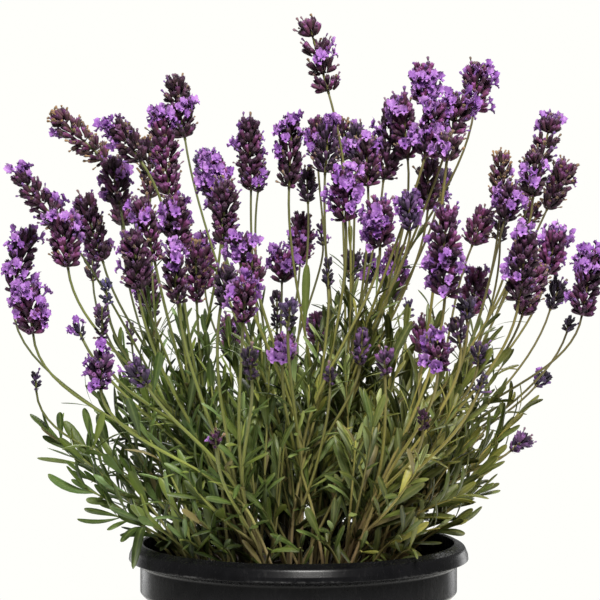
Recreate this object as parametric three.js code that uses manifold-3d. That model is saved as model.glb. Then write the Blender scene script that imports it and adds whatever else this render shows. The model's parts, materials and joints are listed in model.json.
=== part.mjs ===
// A potted lavender: a black nursery pot with a flared rim, filled with potting soil, and a round bush of
// leafy stems that stand in plain holes in the soil and carry slender stalks with flower heads.
// Units are millimetres, +Z is up, and the origin is the centre of the pot's underside. +Y points away
// from the camera of the photograph, so the front of the bush is on the -Y side.
import * as THREE from "three";
import Module from "manifold-3d";

const wasm = await Module();
wasm.setup();
const { Manifold, Mesh: SolidMesh } = wasm;

// Pot, read as a 20 cm nursery pot.
const POT = {
  sides: 28,
  baseRadius: 70,
  baseChamfer: 1.5,
  bodyTopRadius: 89.5,
  bodyTop: 122,
  collarRadius: 93.6,
  collarBottom: 126,
  collarTop: 142.5,
  lipRadius: 100,
  lipBottom: 146,
  lipTop: 148.5,
  rimRadius: 93.4,
  height: 155,
  wall: 1.8,
  floor: 2.4,
};
const SOIL = { sides: 16, top: 138, rings: 3, lump: 1.6 };

// The bush: every shoot fans out from one point below the soil, in its own cone of directions.
const APEX_HEIGHT = 80;
const SHOOTS = 12;
const FIRST_SPREAD = 0.62;
const CLUSTER_ROUNDS = 14;
const LEADER = { sides: 5, rootDepth: 24, rootRadius: 2.3, endRadius: 1.5, spans: 3 };
const FORK = { lowest: 0.1, highest: 0.4, overrun: 3 };
const STALK = { sides: 3, rootRadius: 1.3, neckRadius: 1, spans: 3, firstHandle: 0.34, lastHandle: 0.3 };
const OUTWARD_LEAN = 0.7;
const LEAF = {
  longest: 37,
  shortest: 23,
  width: 5.4,
  rootShare: 0.3,
  thickness: 1.1,
  rootKeel: 0.75,
  pitch: 17,
  leastTilt: 0.55,
  mostTilt: 0.95,
  firstAt: 8,
  leafyShare: 0.62,
  tries: 7,
  swing: 0.3,
  stemSpans: 8,
  denseHeight: 110,
  keptLow: 0.34,
  keptHigh: 0.1,
};
const HEAD = {
  points: 5,
  smallPoints: 4,
  coreShare: 0.4,
  calyxShare: 0.76,
  whorlScale: 1.4,
  calyxLift: 0.6,
  crown: 0.4,
  sink: 1,
  ownNodes: 46,
};
const FLOWER = { radius: 4.3, notch: 0.58, lobes: 5, root: 3.2, dome: 0.5, stand: 0.4, share: 0.16 };
const GAP = { seat: 0.3, hole: 0.5, between: 0.6 };
const SLIVER = 0.2;
const SEED = { soil: 77, leaderLeaves: 900, stalkLeaves: 2000, flowers: 5000, keptLeaves: 70000 };
const PUSH = { sweeps: 90, step: 0.5, sideways: 0.12 };

// Where the camera of the photograph stood, worked out from the pot's rim in the picture.
const CAMERA = { x: 0.8, distance: 1500, height: 362.5, pitch: THREE.MathUtils.degToRad(2.47) };
const PHOTO = { middle: 300, focal: 2548 };

// The flower heads, read off the photograph by eye. Each row holds the pixel where the stalk meets the
// head, the pixel of the head's tip, the depth behind (+) or before (-) the pot's axis in millimetres,
// the head's half width in pixels, its open flowers, how withered it is, and its whorl spacing in mm.
const HEAD_READINGS = [
  [105, 160, 52, 110, 70, 14, 1, 0.9, 9],
  [140, 160, 112, 123, -60, 14, 4, 0.4, 6],
  [120, 205, 112, 155, -30, 15, 4, 0.2, 6],
  [122, 225, 121, 195, 85, 12, 0, 0.4, 6],
  [60, 225, 18, 171, 30, 14, 4, 0.3, 8],
  [68, 268, 62, 215, -45, 16, 4, 0.2, 6],
  [103, 262, 85, 193, -15, 14, 4, 0.3, 6],
  [15, 292, 29, 229, 50, 20, 8, 0, 6.5],
  [33, 333, 30, 285, -40, 20, 8, 0, 6.5],
  [93, 282, 92, 257, 90, 7, 0, 0.4, 6],
  [107, 304, 105, 277, -60, 7, 0, 0, 6],
  [102, 340, 102, 303, -90, 8, 0, 0, 6],
  [138, 290, 130, 231, -85, 15, 2, 0.3, 6],
  [83, 340, 75, 325, -70, 6, 1, 0, 6],
  [132, 345, 130, 322, 100, 5, 0, 0.3, 6],
  [101, 388, 100, 355, -100, 12, 4, 0.1, 6],
  [146, 385, 132, 363, -120, 10, 1, 0, 6],
  [36, 391, 35, 372, -10, 5, 0, 0, 6],
  [185, 139, 175, 73, 50, 15, 4, 0.4, 7],
  [172, 198, 163, 111, -10, 14, 4, 0.3, 6.5],
  [150, 200, 147, 136, 95, 10, 0, 1, 7],
  [155, 262, 140, 195, -70, 12, 2, 0.4, 6],
  [180, 250, 176, 197, -60, 15, 4, 0.2, 6],
  [178, 303, 172, 245, -100, 11, 3, 0.3, 6],
  [195, 303, 193, 240, -50, 9, 0, 0.7, 6],
  [210, 195, 203, 147, 100, 11, 0, 0.6, 6],
  [228, 205, 222, 155, -30, 17, 7, 0, 6],
  [221, 245, 222, 180, -75, 14, 1, 0.3, 6],
  [251, 190, 250, 117, 0, 13, 6, 0.2, 6.5],
  [258, 192, 262, 165, 100, 7, 0, 0.4, 6],
  [240, 262, 240, 236, -110, 13, 4, 0.2, 6],
  [256, 284, 250, 256, -80, 11, 0, 0.4, 6],
  [221, 305, 228, 264, -115, 10, 0, 0.4, 6],
  [243, 321, 243, 280, -140, 13, 5, 0.1, 6],
  [252, 380, 251, 346, -155, 8, 0, 0.2, 6],
  [325, 93, 303, 17, 5, 15, 4, 0.6, 10],
  [289, 188, 292, 118, -30, 12, 4, 0.2, 6.5],
  [312, 160, 310, 115, 80, 10, 3, 0.2, 6],
  [325, 174, 327, 118, -20, 10, 3, 0.4, 6],
  [342, 162, 343, 118, 70, 9, 0, 0.7, 6],
  [356, 170, 357, 120, 45, 9, 3, 0.2, 6],
  [308, 203, 306, 166, 105, 9, 0, 0.4, 6],
  [346, 220, 342, 168, -60, 14, 7, 0, 6],
  [368, 187, 366, 140, -25, 14, 1, 0.4, 6],
  [383, 181, 391, 103, 15, 15, 5, 0.2, 6.5],
  [380, 247, 377, 198, -85, 19, 7, 0.1, 6],
  [282, 283, 282, 252, 60, 14, 5, 0.3, 7],
  [277, 330, 276, 287, 100, 6, 0, 0.3, 6],
  [288, 328, 290, 297, -120, 8, 0, 0, 6],
  [283, 362, 285, 335, -90, 11, 4, 0.1, 6],
  [323, 245, 321, 222, 120, 5, 1, 0.2, 6],
  [329, 287, 329, 256, -60, 6, 0, 0, 6],
  [353, 283, 353, 253, 110, 8, 0, 0.3, 6],
  [367, 285, 370, 250, 50, 8, 2, 0.2, 6],
  [360, 366, 364, 326, -70, 7, 0, 0.2, 6],
  [385, 374, 384, 350, -100, 8, 0, 0.3, 6],
  [330, 385, 330, 366, -80, 6, 0, 0.2, 6],
  [426, 104, 423, 63, 40, 15, 5, 0.1, 6],
  [410, 159, 403, 92, -15, 12, 4, 0.3, 6.5],
  [425, 157, 441, 98, -45, 13, 8, 0, 6],
  [474, 110, 480, 62, 30, 15, 6, 0.2, 7],
  [451, 134, 463, 95, -25, 15, 5, 0.3, 7],
  [443, 160, 446, 134, -75, 11, 2, 0.6, 6],
  [426, 210, 430, 157, -20, 12, 0, 0.4, 6],
  [437, 207, 447, 167, 60, 8, 4, 0.1, 6],
  [410, 232, 408, 190, -50, 9, 4, 0.1, 6],
  [494, 199, 495, 148, 45, 11, 0, 1, 7],
  [445, 295, 449, 204, -95, 20, 8, 0.1, 7],
  [472, 246, 487, 209, 60, 13, 1, 0.5, 6],
  [500, 242, 500, 219, 80, 8, 0, 0.4, 6],
  [504, 222, 514, 184, 30, 12, 4, 0.1, 6],
  [408, 320, 409, 301, 110, 5, 0, 0, 6],
  [467, 320, 465, 298, -70, 9, 0, 0, 6],
  [460, 343, 456, 321, -85, 9, 0, 0.4, 6],
  [438, 368, 438, 343, -130, 15, 7, 0.1, 6],
  [478, 364, 480, 344, -60, 8, 0, 0.2, 6],
  [478, 392, 484, 375, -100, 5, 0, 0, 6],
  [540, 162, 552, 114, 40, 12, 4, 0.3, 8],
  [533, 198, 536, 149, -20, 12, 3, 0.5, 7],
  [548, 211, 570, 162, 70, 12, 3, 0.5, 6],
  [528, 224, 533, 205, 95, 9, 0, 0.8, 6],
  [519, 300, 527, 231, -60, 17, 6, 0.2, 6.5],
  [522, 316, 540, 262, -20, 13, 1, 0.6, 6],
  [546, 272, 556, 228, 60, 14, 8, 0, 6],
  [582, 315, 592, 250, 10, 16, 8, 0, 6.5],
  [550, 310, 559, 279, 75, 9, 0, 0.2, 5.5],
  [567, 332, 571, 319, 40, 6, 0, 0, 6],
  [535, 387, 549, 372, 50, 6, 1, 0, 6],
  [511, 451, 527, 437, -10, 9, 0, 0.2, 6],
  [423, 431, 424, 408, -110, 4, 0, 0, 6],
  [216, 448, 215, 432, -140, 4, 1, 0.2, 6],
];

// Heads at the back of the bush, which the photograph hides: guessed after the ones in front.
const HIDDEN_READINGS = [
  [150, 318, 142, 262, 95, 12, 3, 0.3, 6],
  [205, 290, 200, 236, 120, 13, 4, 0.2, 6],
  [232, 352, 228, 318, 145, 11, 2, 0.3, 6],
  [300, 262, 302, 212, 125, 12, 4, 0.2, 6],
  [318, 350, 320, 312, 150, 12, 3, 0.2, 6],
  [392, 300, 396, 244, 125, 13, 4, 0.3, 6],
  [420, 352, 426, 318, 140, 11, 2, 0.4, 6],
  [470, 316, 480, 268, 95, 12, 4, 0.2, 6],
];

const apex = new THREE.Vector3(0, 0, APEX_HEIGHT);

// Seeded random numbers: the same seed always gives the same bush.
function randomFrom(seed) {
  let state = (seed * 7919 + 104729) % 4294967296;
  const draw = (low, high) => {
    state = (state * 1664525 + 1013904223) % 4294967296;
    return low + ((high - low) * state) / 4294967296;
  };
  draw(0, 1);
  draw(0, 1);
  return draw;
}

// The point in space seen at a pixel of the photograph, at a given depth.
function fromPhoto(pixelX, pixelY, depth) {
  const right = (pixelX - PHOTO.middle) / PHOTO.focal;
  const up = (PHOTO.middle - pixelY) / PHOTO.focal;
  const sine = Math.sin(CAMERA.pitch);
  const cosine = Math.cos(CAMERA.pitch);
  const reach = (depth + CAMERA.distance) / (cosine + up * sine);
  return new THREE.Vector3(
    CAMERA.x + reach * right,
    depth,
    CAMERA.height + reach * (up * cosine - sine),
  );
}

// One flower head in space. Its tip leans towards the outside of the bush.
function readHead(reading) {
  const [footX, footY, tipX, tipY, depth, halfWidth, flowers, withered, pitch] = reading;
  const foot = fromPhoto(footX, footY, depth);
  const straightTip = fromPhoto(tipX, tipY, depth);
  const lean = (OUTWARD_LEAN * depth * (straightTip.z - foot.z)) / (foot.z - apex.z);
  const tip = fromPhoto(tipX, tipY, depth + lean);
  const radius = (halfWidth * (depth + CAMERA.distance)) / PHOTO.focal;
  return { foot, tip, radius, flowers, withered, pitch };
}

// The direction from the apex to the middle of a head.
function headDirection(head) {
  return head.foot.clone().add(head.tip).multiplyScalar(0.5).sub(apex).normalize();
}

function nearestDirection(directions, direction) {
  let best = 0;
  directions.forEach((candidate, index) => {
    if (candidate.dot(direction) > directions[best].dot(direction)) {
      best = index;
    }
  });
  return best;
}

// Shares the heads out among the shoots: each shoot serves the heads that lie nearest its own direction.
function shootDirections(heads) {
  let directions = [];
  for (let index = 0; index < SHOOTS; index += 1) {
    const turn = index * Math.PI * (3 - Math.sqrt(5));
    const tilt = FIRST_SPREAD * Math.sqrt((index + 0.5) / SHOOTS);
    const sine = Math.sin(tilt);
    directions.push(new THREE.Vector3(sine * Math.cos(turn), sine * Math.sin(turn), Math.cos(tilt)));
  }
  for (let round = 0; round < CLUSTER_ROUNDS; round += 1) {
    const sums = directions.map((direction) => direction.clone().multiplyScalar(0.5));
    for (const head of heads) {
      const direction = headDirection(head);
      sums[nearestDirection(directions, direction)].add(direction);
    }
    directions = sums.map((sum) => sum.normalize());
  }
  return directions;
}

// The flat borders between a shoot's cone of directions and its neighbours', as inward normals.
function coneBorders(directions, index) {
  return directions
    .filter((direction) => direction !== directions[index])
    .map((direction) => directions[index].clone().sub(direction).normalize());
}

// How far inside its shoot's cone a ball of the given radius lies: negative when it sticks out.
function insideCone(borders, point, radius) {
  const offset = point.clone().sub(apex);
  return Math.min(...borders.map((border) => border.dot(offset))) - radius - GAP.between / 2;
}

function clampShare(value) {
  return Math.min(1, Math.max(0, value));
}

// The shortest step from segment b0-b1 to segment a0-a1.
function shortestStep(a0, a1, b0, b1) {
  const u = a1.clone().sub(a0);
  const v = b1.clone().sub(b0);
  const w = a0.clone().sub(b0);
  const uu = Math.max(u.dot(u), 1e-9);
  const vv = Math.max(v.dot(v), 1e-9);
  const uv = u.dot(v);
  const uw = u.dot(w);
  const vw = v.dot(w);
  const spread = uu * vv - uv * uv;
  let s = spread > 1e-9 ? clampShare((uv * vw - vv * uw) / spread) : 0;
  const t = clampShare((uv * s + vw) / vv);
  s = clampShare((uv * t - uw) / uu);
  return w.addScaledVector(u, s).addScaledVector(v, -t);
}

function bezierPoint(curve, t) {
  const rest = 1 - t;
  return new THREE.Vector3()
    .addScaledVector(curve[0], rest * rest * rest)
    .addScaledVector(curve[1], 3 * rest * rest * t)
    .addScaledVector(curve[2], 3 * rest * t * t)
    .addScaledVector(curve[3], t * t * t);
}

function samplePath(curve, spans) {
  return Array.from({ length: spans + 1 }, (_, step) => bezierPoint(curve, step / spans));
}

// The distance from the apex at which a direction leaves the soil.
function soilReach(direction) {
  return (SOIL.top - apex.z) / direction.z;
}

// A stalk leaves its shoot's leader at a fork and bends into the line of its head.
function stalkCurve(head, direction, borders) {
  const start = soilReach(direction);
  const footReach = head.foot.clone().sub(apex).length();
  const fork = apex.clone().addScaledVector(direction, start + (footReach - start) * head.forkShare);
  const length = head.foot.distanceTo(fork);
  const axis = head.tip.clone().sub(head.foot).normalize();
  let handle = length * STALK.lastHandle;
  let last = head.foot.clone().addScaledVector(axis, -handle);
  while (handle > 2 && insideCone(borders, last, STALK.rootRadius) < 0) {
    handle *= 0.7;
    last = head.foot.clone().addScaledVector(axis, -handle);
  }
  const first = fork.clone().addScaledVector(direction, length * STALK.firstHandle);
  return [fork, first, last, head.foot.clone()];
}

// A push along a direction that moves a head in depth rather than across the picture.
function depthPush(direction, amount) {
  const weighted = new THREE.Vector3(
    direction.x * PUSH.sideways,
    direction.y,
    direction.z * PUSH.sideways,
  );
  return weighted.multiplyScalar(amount / Math.max(weighted.dot(direction), 0.05));
}

// Moves the heads of one shoot apart, out of the way of each other's stalks, and into their cone.
function settleShoot(shoot) {
  for (let sweep = 0; sweep < PUSH.sweeps; sweep += 1) {
    const pushes = shoot.heads.map(() => new THREE.Vector3());
    const paths = shoot.heads.map((head) =>
      samplePath(stalkCurve(head, shoot.direction, shoot.borders), STALK.spans + 2),
    );
    shoot.heads.forEach((head, index) => {
      for (const border of shoot.borders) {
        for (const end of [head.foot, head.tip]) {
          const room = end.clone().sub(apex).dot(border) - head.radius - GAP.between / 2;
          if (room < 0) {
            pushes[index].add(depthPush(border, -room));
          }
        }
      }
      shoot.heads.forEach((other, otherIndex) => {
        if (otherIndex === index) {
          return;
        }
        const parts = [[other.foot, other.tip, other.radius, 0.5]];
        for (let step = 1; step < paths[otherIndex].length; step += 1) {
          const [from, to] = [paths[otherIndex][step - 1], paths[otherIndex][step]];
          parts.push([from, to, STALK.rootRadius, 0.8]);
        }
        for (const [from, to, radius, share] of parts) {
          const away = shortestStep(head.foot, head.tip, from, to);
          const distance = away.length();
          const room = distance - head.radius - radius - GAP.between;
          if (room < 0) {
            if (distance < 0.5) {
              away.set(0, index < otherIndex ? 1 : -1, 0);
            }
            const push = depthPush(away.normalize(), -room);
            pushes[index].addScaledVector(push, share);
            pushes[otherIndex].addScaledVector(push, share - 1);
          }
        }
      });
    });
    shoot.heads.forEach((head, index) => {
      head.foot.addScaledVector(pushes[index], PUSH.step);
      head.tip.addScaledVector(pushes[index], PUSH.step);
    });
  }
}

// Lays out the whole bush: shoots, each with its direction, its cone and its heads.
function layOutBush() {
  const heads = [...HEAD_READINGS, ...HIDDEN_READINGS].map(readHead);
  heads.forEach((head, index) => {
    head.index = index;
    head.forkShare = randomFrom(index)(FORK.lowest, FORK.highest);
  });
  const bySize = [...heads].sort(
    (a, b) => b.radius * b.foot.distanceTo(b.tip) - a.radius * a.foot.distanceTo(a.tip),
  );
  bySize.forEach((head, rank) => {
    head.ownNode = rank < HEAD.ownNodes;
  });
  const directions = shootDirections(heads);
  const shoots = directions.map((direction, index) => ({
    direction,
    borders: coneBorders(directions, index),
    heads: [],
  }));
  for (const head of heads) {
    shoots[nearestDirection(directions, headDirection(head))].heads.push(head);
  }
  shoots.forEach(settleShoot);
  return shoots;
}

// A closed geometry from points and triangles that are listed once each.
function closedGeometry(points, faces) {
  const geometry = new THREE.BufferGeometry().setFromPoints(points);
  geometry.setIndex(faces.flat());
  return geometry;
}

function toSolid(geometry) {
  const vertProperties = new Float32Array(geometry.getAttribute("position").array);
  const triVerts = new Uint32Array(geometry.getIndex().array);
  return new Manifold(new SolidMesh({ numProp: 3, vertProperties, triVerts }));
}

function toGeometry(solid) {
  const mesh = solid.getMesh();
  const geometry = new THREE.BufferGeometry();
  geometry.setAttribute("position", new THREE.BufferAttribute(mesh.vertProperties, 3));
  geometry.setIndex(new THREE.BufferAttribute(mesh.triVerts, 1));
  return geometry;
}

// Fuses overlapping solids into one body, without the slivers and sealed hollows that fusing can leave.
function fuse(geometries) {
  const whole = Manifold.union(geometries.map(toSolid)).asOriginal().simplify(SLIVER);
  const bodies = whole.decompose();
  bodies.sort((a, b) => b.volume() - a.volume());
  return toGeometry(bodies[0]);
}

// Two directions at right angles to an axis and to each other.
function crossFrame(axis) {
  const helper = Math.abs(axis.y) < 0.8 ? new THREE.Vector3(0, 1, 0) : new THREE.Vector3(1, 0, 0);
  const side = helper.cross(axis).normalize();
  return [side, axis.clone().cross(side)];
}

// A closed stem along a path, with its radius running from the first value to the last and its end
// face square to the end tangent, where one is given.
function stemGeometry(path, sides, startRadius, endRadius, endTangent) {
  const points = [];
  const faces = [];
  const whole = path[path.length - 1].clone().sub(path[0]).normalize();
  const [side] = crossFrame(whole);
  path.forEach((centre, ring) => {
    const before = path[Math.max(0, ring - 1)];
    const after = path[Math.min(path.length - 1, ring + 1)];
    const atEnd = ring === path.length - 1 && endTangent;
    const tangent = atEnd ? endTangent.clone() : after.clone().sub(before).normalize();
    const across = side.clone().addScaledVector(tangent, -side.dot(tangent)).normalize();
    const upright = tangent.clone().cross(across);
    const radius = startRadius + ((endRadius - startRadius) * ring) / (path.length - 1);
    for (let corner = 0; corner < sides; corner += 1) {
      const angle = (2 * Math.PI * corner) / sides;
      points.push(
        centre
          .clone()
          .addScaledVector(across, radius * Math.cos(angle))
          .addScaledVector(upright, radius * Math.sin(angle)),
      );
    }
  });
  for (let ring = 0; ring + 1 < path.length; ring += 1) {
    for (let corner = 0; corner < sides; corner += 1) {
      const next = (corner + 1) % sides;
      const low = ring * sides;
      const high = low + sides;
      faces.push([low + corner, low + next, high + next], [low + corner, high + next, high + corner]);
    }
  }
  const last = (path.length - 1) * sides;
  for (let corner = 1; corner + 1 < sides; corner += 1) {
    faces.push([0, corner + 1, corner], [last, last + corner, last + corner + 1]);
  }
  return closedGeometry(points, faces);
}

// A narrow leaf with a keel, from its root through its middle to its tip.
function leafGeometry(leaf) {
  const along = leaf.tip.clone().sub(leaf.root).normalize();
  const across = along.clone().cross(leaf.face).normalize();
  const keel = across.clone().cross(along).normalize().negate();
  const points = [];
  const stations = [
    [leaf.root, LEAF.rootShare],
    [leaf.middle, 1],
  ];
  for (const [centre, share] of stations) {
    const half = (leaf.width / 2) * share;
    const depth = LEAF.thickness * Math.max(share, LEAF.rootKeel);
    points.push(
      centre.clone().addScaledVector(across, half),
      centre.clone().addScaledVector(across, -half),
      centre.clone().addScaledVector(keel, depth),
    );
  }
  points.push(leaf.tip);
  const faces = [[0, 1, 2]];
  for (let corner = 0; corner < 3; corner += 1) {
    const next = (corner + 1) % 3;
    faces.push([corner, 3 + corner, 3 + next], [corner, 3 + next, next], [3 + corner, 6, 3 + next]);
  }
  return closedGeometry(points, faces);
}

// How wide a head is along its length: fullest near the middle, narrower at the foot and the tip.
function headFullness(share) {
  return 0.52 + 0.48 * Math.sin(Math.PI * (0.15 + 0.75 * share));
}

// The whorls of a head: rings of hollows with a raised calyx in each gap, alternate rings turned half
// a step. Returns the geometry and the place of every calyx.
function headBody(head, start, count) {
  const axis = head.tip.clone().sub(head.foot).normalize();
  const [side, upright] = crossFrame(axis);
  const length = head.tip.clone().sub(start).dot(axis);
  const rows = Math.max(2, Math.round(length / (head.pitch * HEAD.whorlScale)));
  const rise = length / (rows + HEAD.crown);
  const place = (angle, radius, height) =>
    start
      .clone()
      .addScaledVector(axis, height)
      .addScaledVector(side, radius * Math.cos(angle))
      .addScaledVector(upright, radius * Math.sin(angle));
  const points = [];
  const faces = [];
  const calyces = [];
  const step = (2 * Math.PI) / count;
  for (let ring = 0; ring <= rows; ring += 1) {
    const radius = head.radius * HEAD.coreShare * headFullness(ring / rows);
    for (let corner = 0; corner < count; corner += 1) {
      points.push(place((corner + (ring % 2) / 2) * step, radius, ring * rise));
    }
  }
  const corner = (ring, index) => ring * count + ((index % count) + count) % count;
  for (let ring = 0; ring < rows; ring += 1) {
    // On an odd ring the corner with the same number is half a step further round.
    const shift = ring % 2;
    for (let index = 0; index < count; index += 1) {
      const angle = (index + 0.5 + shift / 2) * step;
      const left = corner(ring, index);
      const right = corner(ring, index + 1);
      const above = corner(ring + 1, index + shift);
      const below = corner(ring - 1, index + shift);
      if (ring === 0) {
        faces.push([left, right, above]);
        continue;
      }
      const radius = head.radius * HEAD.calyxShare * headFullness(ring / rows);
      const tip = points.length;
      const centre = place(angle, radius, (ring + HEAD.calyxLift) * rise);
      points.push(centre);
      calyces.push({ centre, outward: centre.clone().sub(place(angle, 0, ring * rise)) });
      faces.push([below, right, tip], [right, above, tip], [above, left, tip], [left, below, tip]);
    }
  }
  const crown = points.length;
  points.push(place(0, 0, length));
  for (let index = 0; index < count; index += 1) {
    const left = corner(rows, index);
    const right = corner(rows, index + 1);
    faces.push([left, corner(rows - 1, index + (rows % 2)), right], [left, right, crown]);
  }
  for (let index = 1; index + 1 < count; index += 1) {
    faces.push([0, index + 1, index]);
  }
  return { geometry: closedGeometry(points, faces), calyces };
}

// An open flower: a five-lobed star with its root sunk in the head.
function flowerGeometry(calyx, radius) {
  const front = calyx.outward.clone().normalize();
  const [side, upright] = crossFrame(front);
  const centre = calyx.centre.clone().addScaledVector(front, FLOWER.stand);
  const points = [
    centre.clone().addScaledVector(front, FLOWER.dome),
    centre.clone().addScaledVector(front, -FLOWER.root),
  ];
  const corners = 2 * FLOWER.lobes;
  for (let corner = 0; corner < corners; corner += 1) {
    const angle = (2 * Math.PI * corner) / corners;
    const reach = corner % 2 === 0 ? radius : radius * FLOWER.notch;
    points.push(
      centre
        .clone()
        .addScaledVector(side, reach * Math.cos(angle))
        .addScaledVector(upright, reach * Math.sin(angle)),
    );
  }
  const faces = [];
  for (let corner = 0; corner < corners; corner += 1) {
    const here = 2 + corner;
    const next = 2 + ((corner + 1) % corners);
    faces.push([0, here, next], [1, next, here]);
  }
  return closedGeometry(points, faces);
}

function headSeat(head) {
  const axis = head.tip.clone().sub(head.foot).normalize();
  return head.foot.clone().addScaledVector(axis, head.ownNode ? GAP.seat : -HEAD.sink);
}

// A whole head: its body and its open flowers, spread over it at random.
function headSolids(head) {
  const draw = randomFrom(SEED.flowers + head.index);
  const count = head.ownNode ? HEAD.points : HEAD.smallPoints;
  const { geometry, calyces } = headBody(head, headSeat(head), count);
  const wanted = Math.round(head.flowers * FLOWER.share);
  const solids = [geometry];
  const free = [...calyces];
  while (solids.length <= wanted && free.length > 0) {
    const [calyx] = free.splice(Math.floor(draw(0, free.length)), 1);
    const radius = FLOWER.radius * Math.min(1, head.radius / 6) * draw(0.88, 1.05);
    solids.push(flowerGeometry(calyx, radius));
  }
  return solids;
}

// Whether a point with some width round it stays above the soil and clear of the pot's rim.
function clearOfPot(point, radius) {
  const fromAxis = Math.hypot(point.x, point.y) + radius;
  if (fromAxis > POT.rimRadius - 3 * POT.wall) {
    return point.z - radius > POT.height + GAP.between;
  }
  return point.z - radius > SOIL.top + SOIL.lump;
}

// The shortest distance between a leaf's middle line, past its root, and a segment.
function leafDistance(leaf, from, to) {
  const start = leaf.root.clone().lerp(leaf.middle, 0.35);
  const near = shortestStep(start, leaf.middle, from, to).length();
  const far = shortestStep(leaf.middle, leaf.tip, from, to).length();
  return Math.min(near, far);
}

// Whether a leaf stays in its shoot's cone, out of the pot, and clear of the shoot's heads and of the
// other stems of the shoot.
function leafFits(leaf, shoot, ownPath) {
  const half = leaf.width / 2;
  for (const share of [0.25, 0.5, 0.75, 1]) {
    const near = leaf.root.clone().lerp(leaf.middle, share);
    const far = leaf.middle.clone().lerp(leaf.tip, share);
    if (share > 0.25 && (insideCone(shoot.borders, near, half) < 0 || !clearOfPot(near, 1))) {
      return false;
    }
    if (insideCone(shoot.borders, far, half * (1.2 - share)) < 0 || !clearOfPot(far, 1)) {
      return false;
    }
  }
  const clearOfHeads = shoot.heads.every(
    (head) => leafDistance(leaf, head.foot, head.tip) > head.radius + half + GAP.between,
  );
  const clearOfStems = shoot.paths.every(
    (path) =>
      path === ownPath ||
      path.every(
        (point, step) =>
          step === 0 || leafDistance(leaf, path[step - 1], point) > 0.6 * half + STALK.rootRadius,
      ),
  );
  return clearOfHeads && clearOfStems;
}

// One leaf that grows from a stem at a site, turned round the stem by an angle.
function makeLeaf(site, turn, draw) {
  const [side, upright] = crossFrame(site.tangent);
  const outward = side.multiplyScalar(Math.cos(turn)).addScaledVector(upright, Math.sin(turn));
  const tilt = draw(LEAF.leastTilt, LEAF.mostTilt);
  const length = draw(LEAF.shortest, LEAF.longest) * site.size;
  const along = site.tangent
    .clone()
    .multiplyScalar(Math.cos(tilt))
    .addScaledVector(outward, Math.sin(tilt));
  const face = site.tangent.clone().addScaledVector(along, -site.tangent.dot(along)).normalize();
  const middle = site.point
    .clone()
    .addScaledVector(along, length * 0.5)
    .addScaledVector(face, length * 0.08);
  const tip = site.point
    .clone()
    .addScaledVector(along, length)
    .addScaledVector(face, length * draw(-0.12, 0.1));
  return { root: site.point, middle, tip, face, width: LEAF.width * draw(0.8, 1.1) * site.size };
}

// Where leaf pairs grow: along the leader, and along the lower part of each stalk.
function leafSites(shoot) {
  const sites = [];
  const addSites = (path, from, to, seed) => {
    const draw = randomFrom(seed);
    let travelled = 0;
    let next = from;
    let pair = 0;
    for (let step = 1; step < path.length; step += 1) {
      const tangent = path[step].clone().sub(path[step - 1]);
      const length = tangent.length();
      tangent.normalize();
      while (next <= travelled + length && next <= to) {
        const point = path[step - 1].clone().addScaledVector(tangent, next - travelled);
        const turn = (pair * Math.PI) / 2 + draw(-0.4, 0.4);
        const size = 1 - 0.35 * (next / Math.max(to, 1));
        sites.push({ point, tangent, turn, size, seed: seed + pair, path });
        next += LEAF.pitch * draw(0.85, 1.2);
        pair += 1;
      }
      travelled += length;
    }
  };
  const wholeLeader = shoot.leader[0].distanceTo(shoot.leader[LEADER.spans]);
  addSites(shoot.leader, LEADER.rootDepth + LEAF.firstAt, wholeLeader, SEED.leaderLeaves + 40 * shoot.index);
  shoot.heads.forEach((head, index) => {
    const path = shoot.paths[index];
    const reach = path[0].distanceTo(head.foot);
    const end = reach * LEAF.leafyShare - LEAF.firstAt;
    addSites(path, LEAF.firstAt, end, SEED.stalkLeaves + 40 * head.index);
  });
  return sites;
}

// The leaves of a shoot: a pair at some of its sites, most of them low down. A leaf that would leave its
// room is turned a little, and left out if that fails.
function growLeaves(shoot) {
  const leaves = [];
  for (const site of leafSites(shoot)) {
    const height = clampShare((site.point.z - POT.height) / LEAF.denseHeight);
    const kept = LEAF.keptLow + (LEAF.keptHigh - LEAF.keptLow) * height;
    if (randomFrom(SEED.keptLeaves + site.seed)(0, 1) > kept) {
      continue;
    }
    for (const half of [0, Math.PI]) {
      const draw = randomFrom(site.seed * 2 + (half > 0 ? 1 : 0));
      for (let attempt = 0; attempt < LEAF.tries; attempt += 1) {
        const swing = LEAF.swing * Math.ceil(attempt / 2) * (attempt % 2 === 0 ? 1 : -1);
        const leaf = makeLeaf(site, site.turn + half + swing, draw);
        if (leafFits(leaf, shoot, site.path)) {
          leaves.push(leaf);
          break;
        }
      }
    }
  }
  return leaves;
}

// The leader runs straight from its root in the soil to just past its highest fork.
function leaderPath(shoot) {
  const start = soilReach(shoot.direction);
  const forks = shoot.heads.map(
    (head) => start + (head.foot.clone().sub(apex).length() - start) * head.forkShare,
  );
  const end = Math.max(...forks) + FORK.overrun;
  const at = (reach) => apex.clone().addScaledVector(shoot.direction, reach);
  const first = start - LEADER.rootDepth;
  return Array.from({ length: LEADER.spans + 1 }, (_, step) =>
    at(first + ((end - first) * step) / LEADER.spans),
  );
}

// A leafy stem: leader, stalks, leaves and the small heads that aren't nodes of their own.
function shootGeometry(shoot) {
  const solids = [stemGeometry(shoot.leader, LEADER.sides, LEADER.rootRadius, LEADER.endRadius)];
  for (const head of shoot.heads) {
    const path = samplePath(stalkCurve(head, shoot.direction, shoot.borders), STALK.spans);
    const axis = head.tip.clone().sub(head.foot).normalize();
    solids.push(stemGeometry(path, STALK.sides, STALK.rootRadius, STALK.neckRadius, axis));
    if (!head.ownNode) {
      solids.push(...headSolids(head));
    }
  }
  return fuse([...solids, ...shoot.leaves.map(leafGeometry)]);
}

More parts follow.
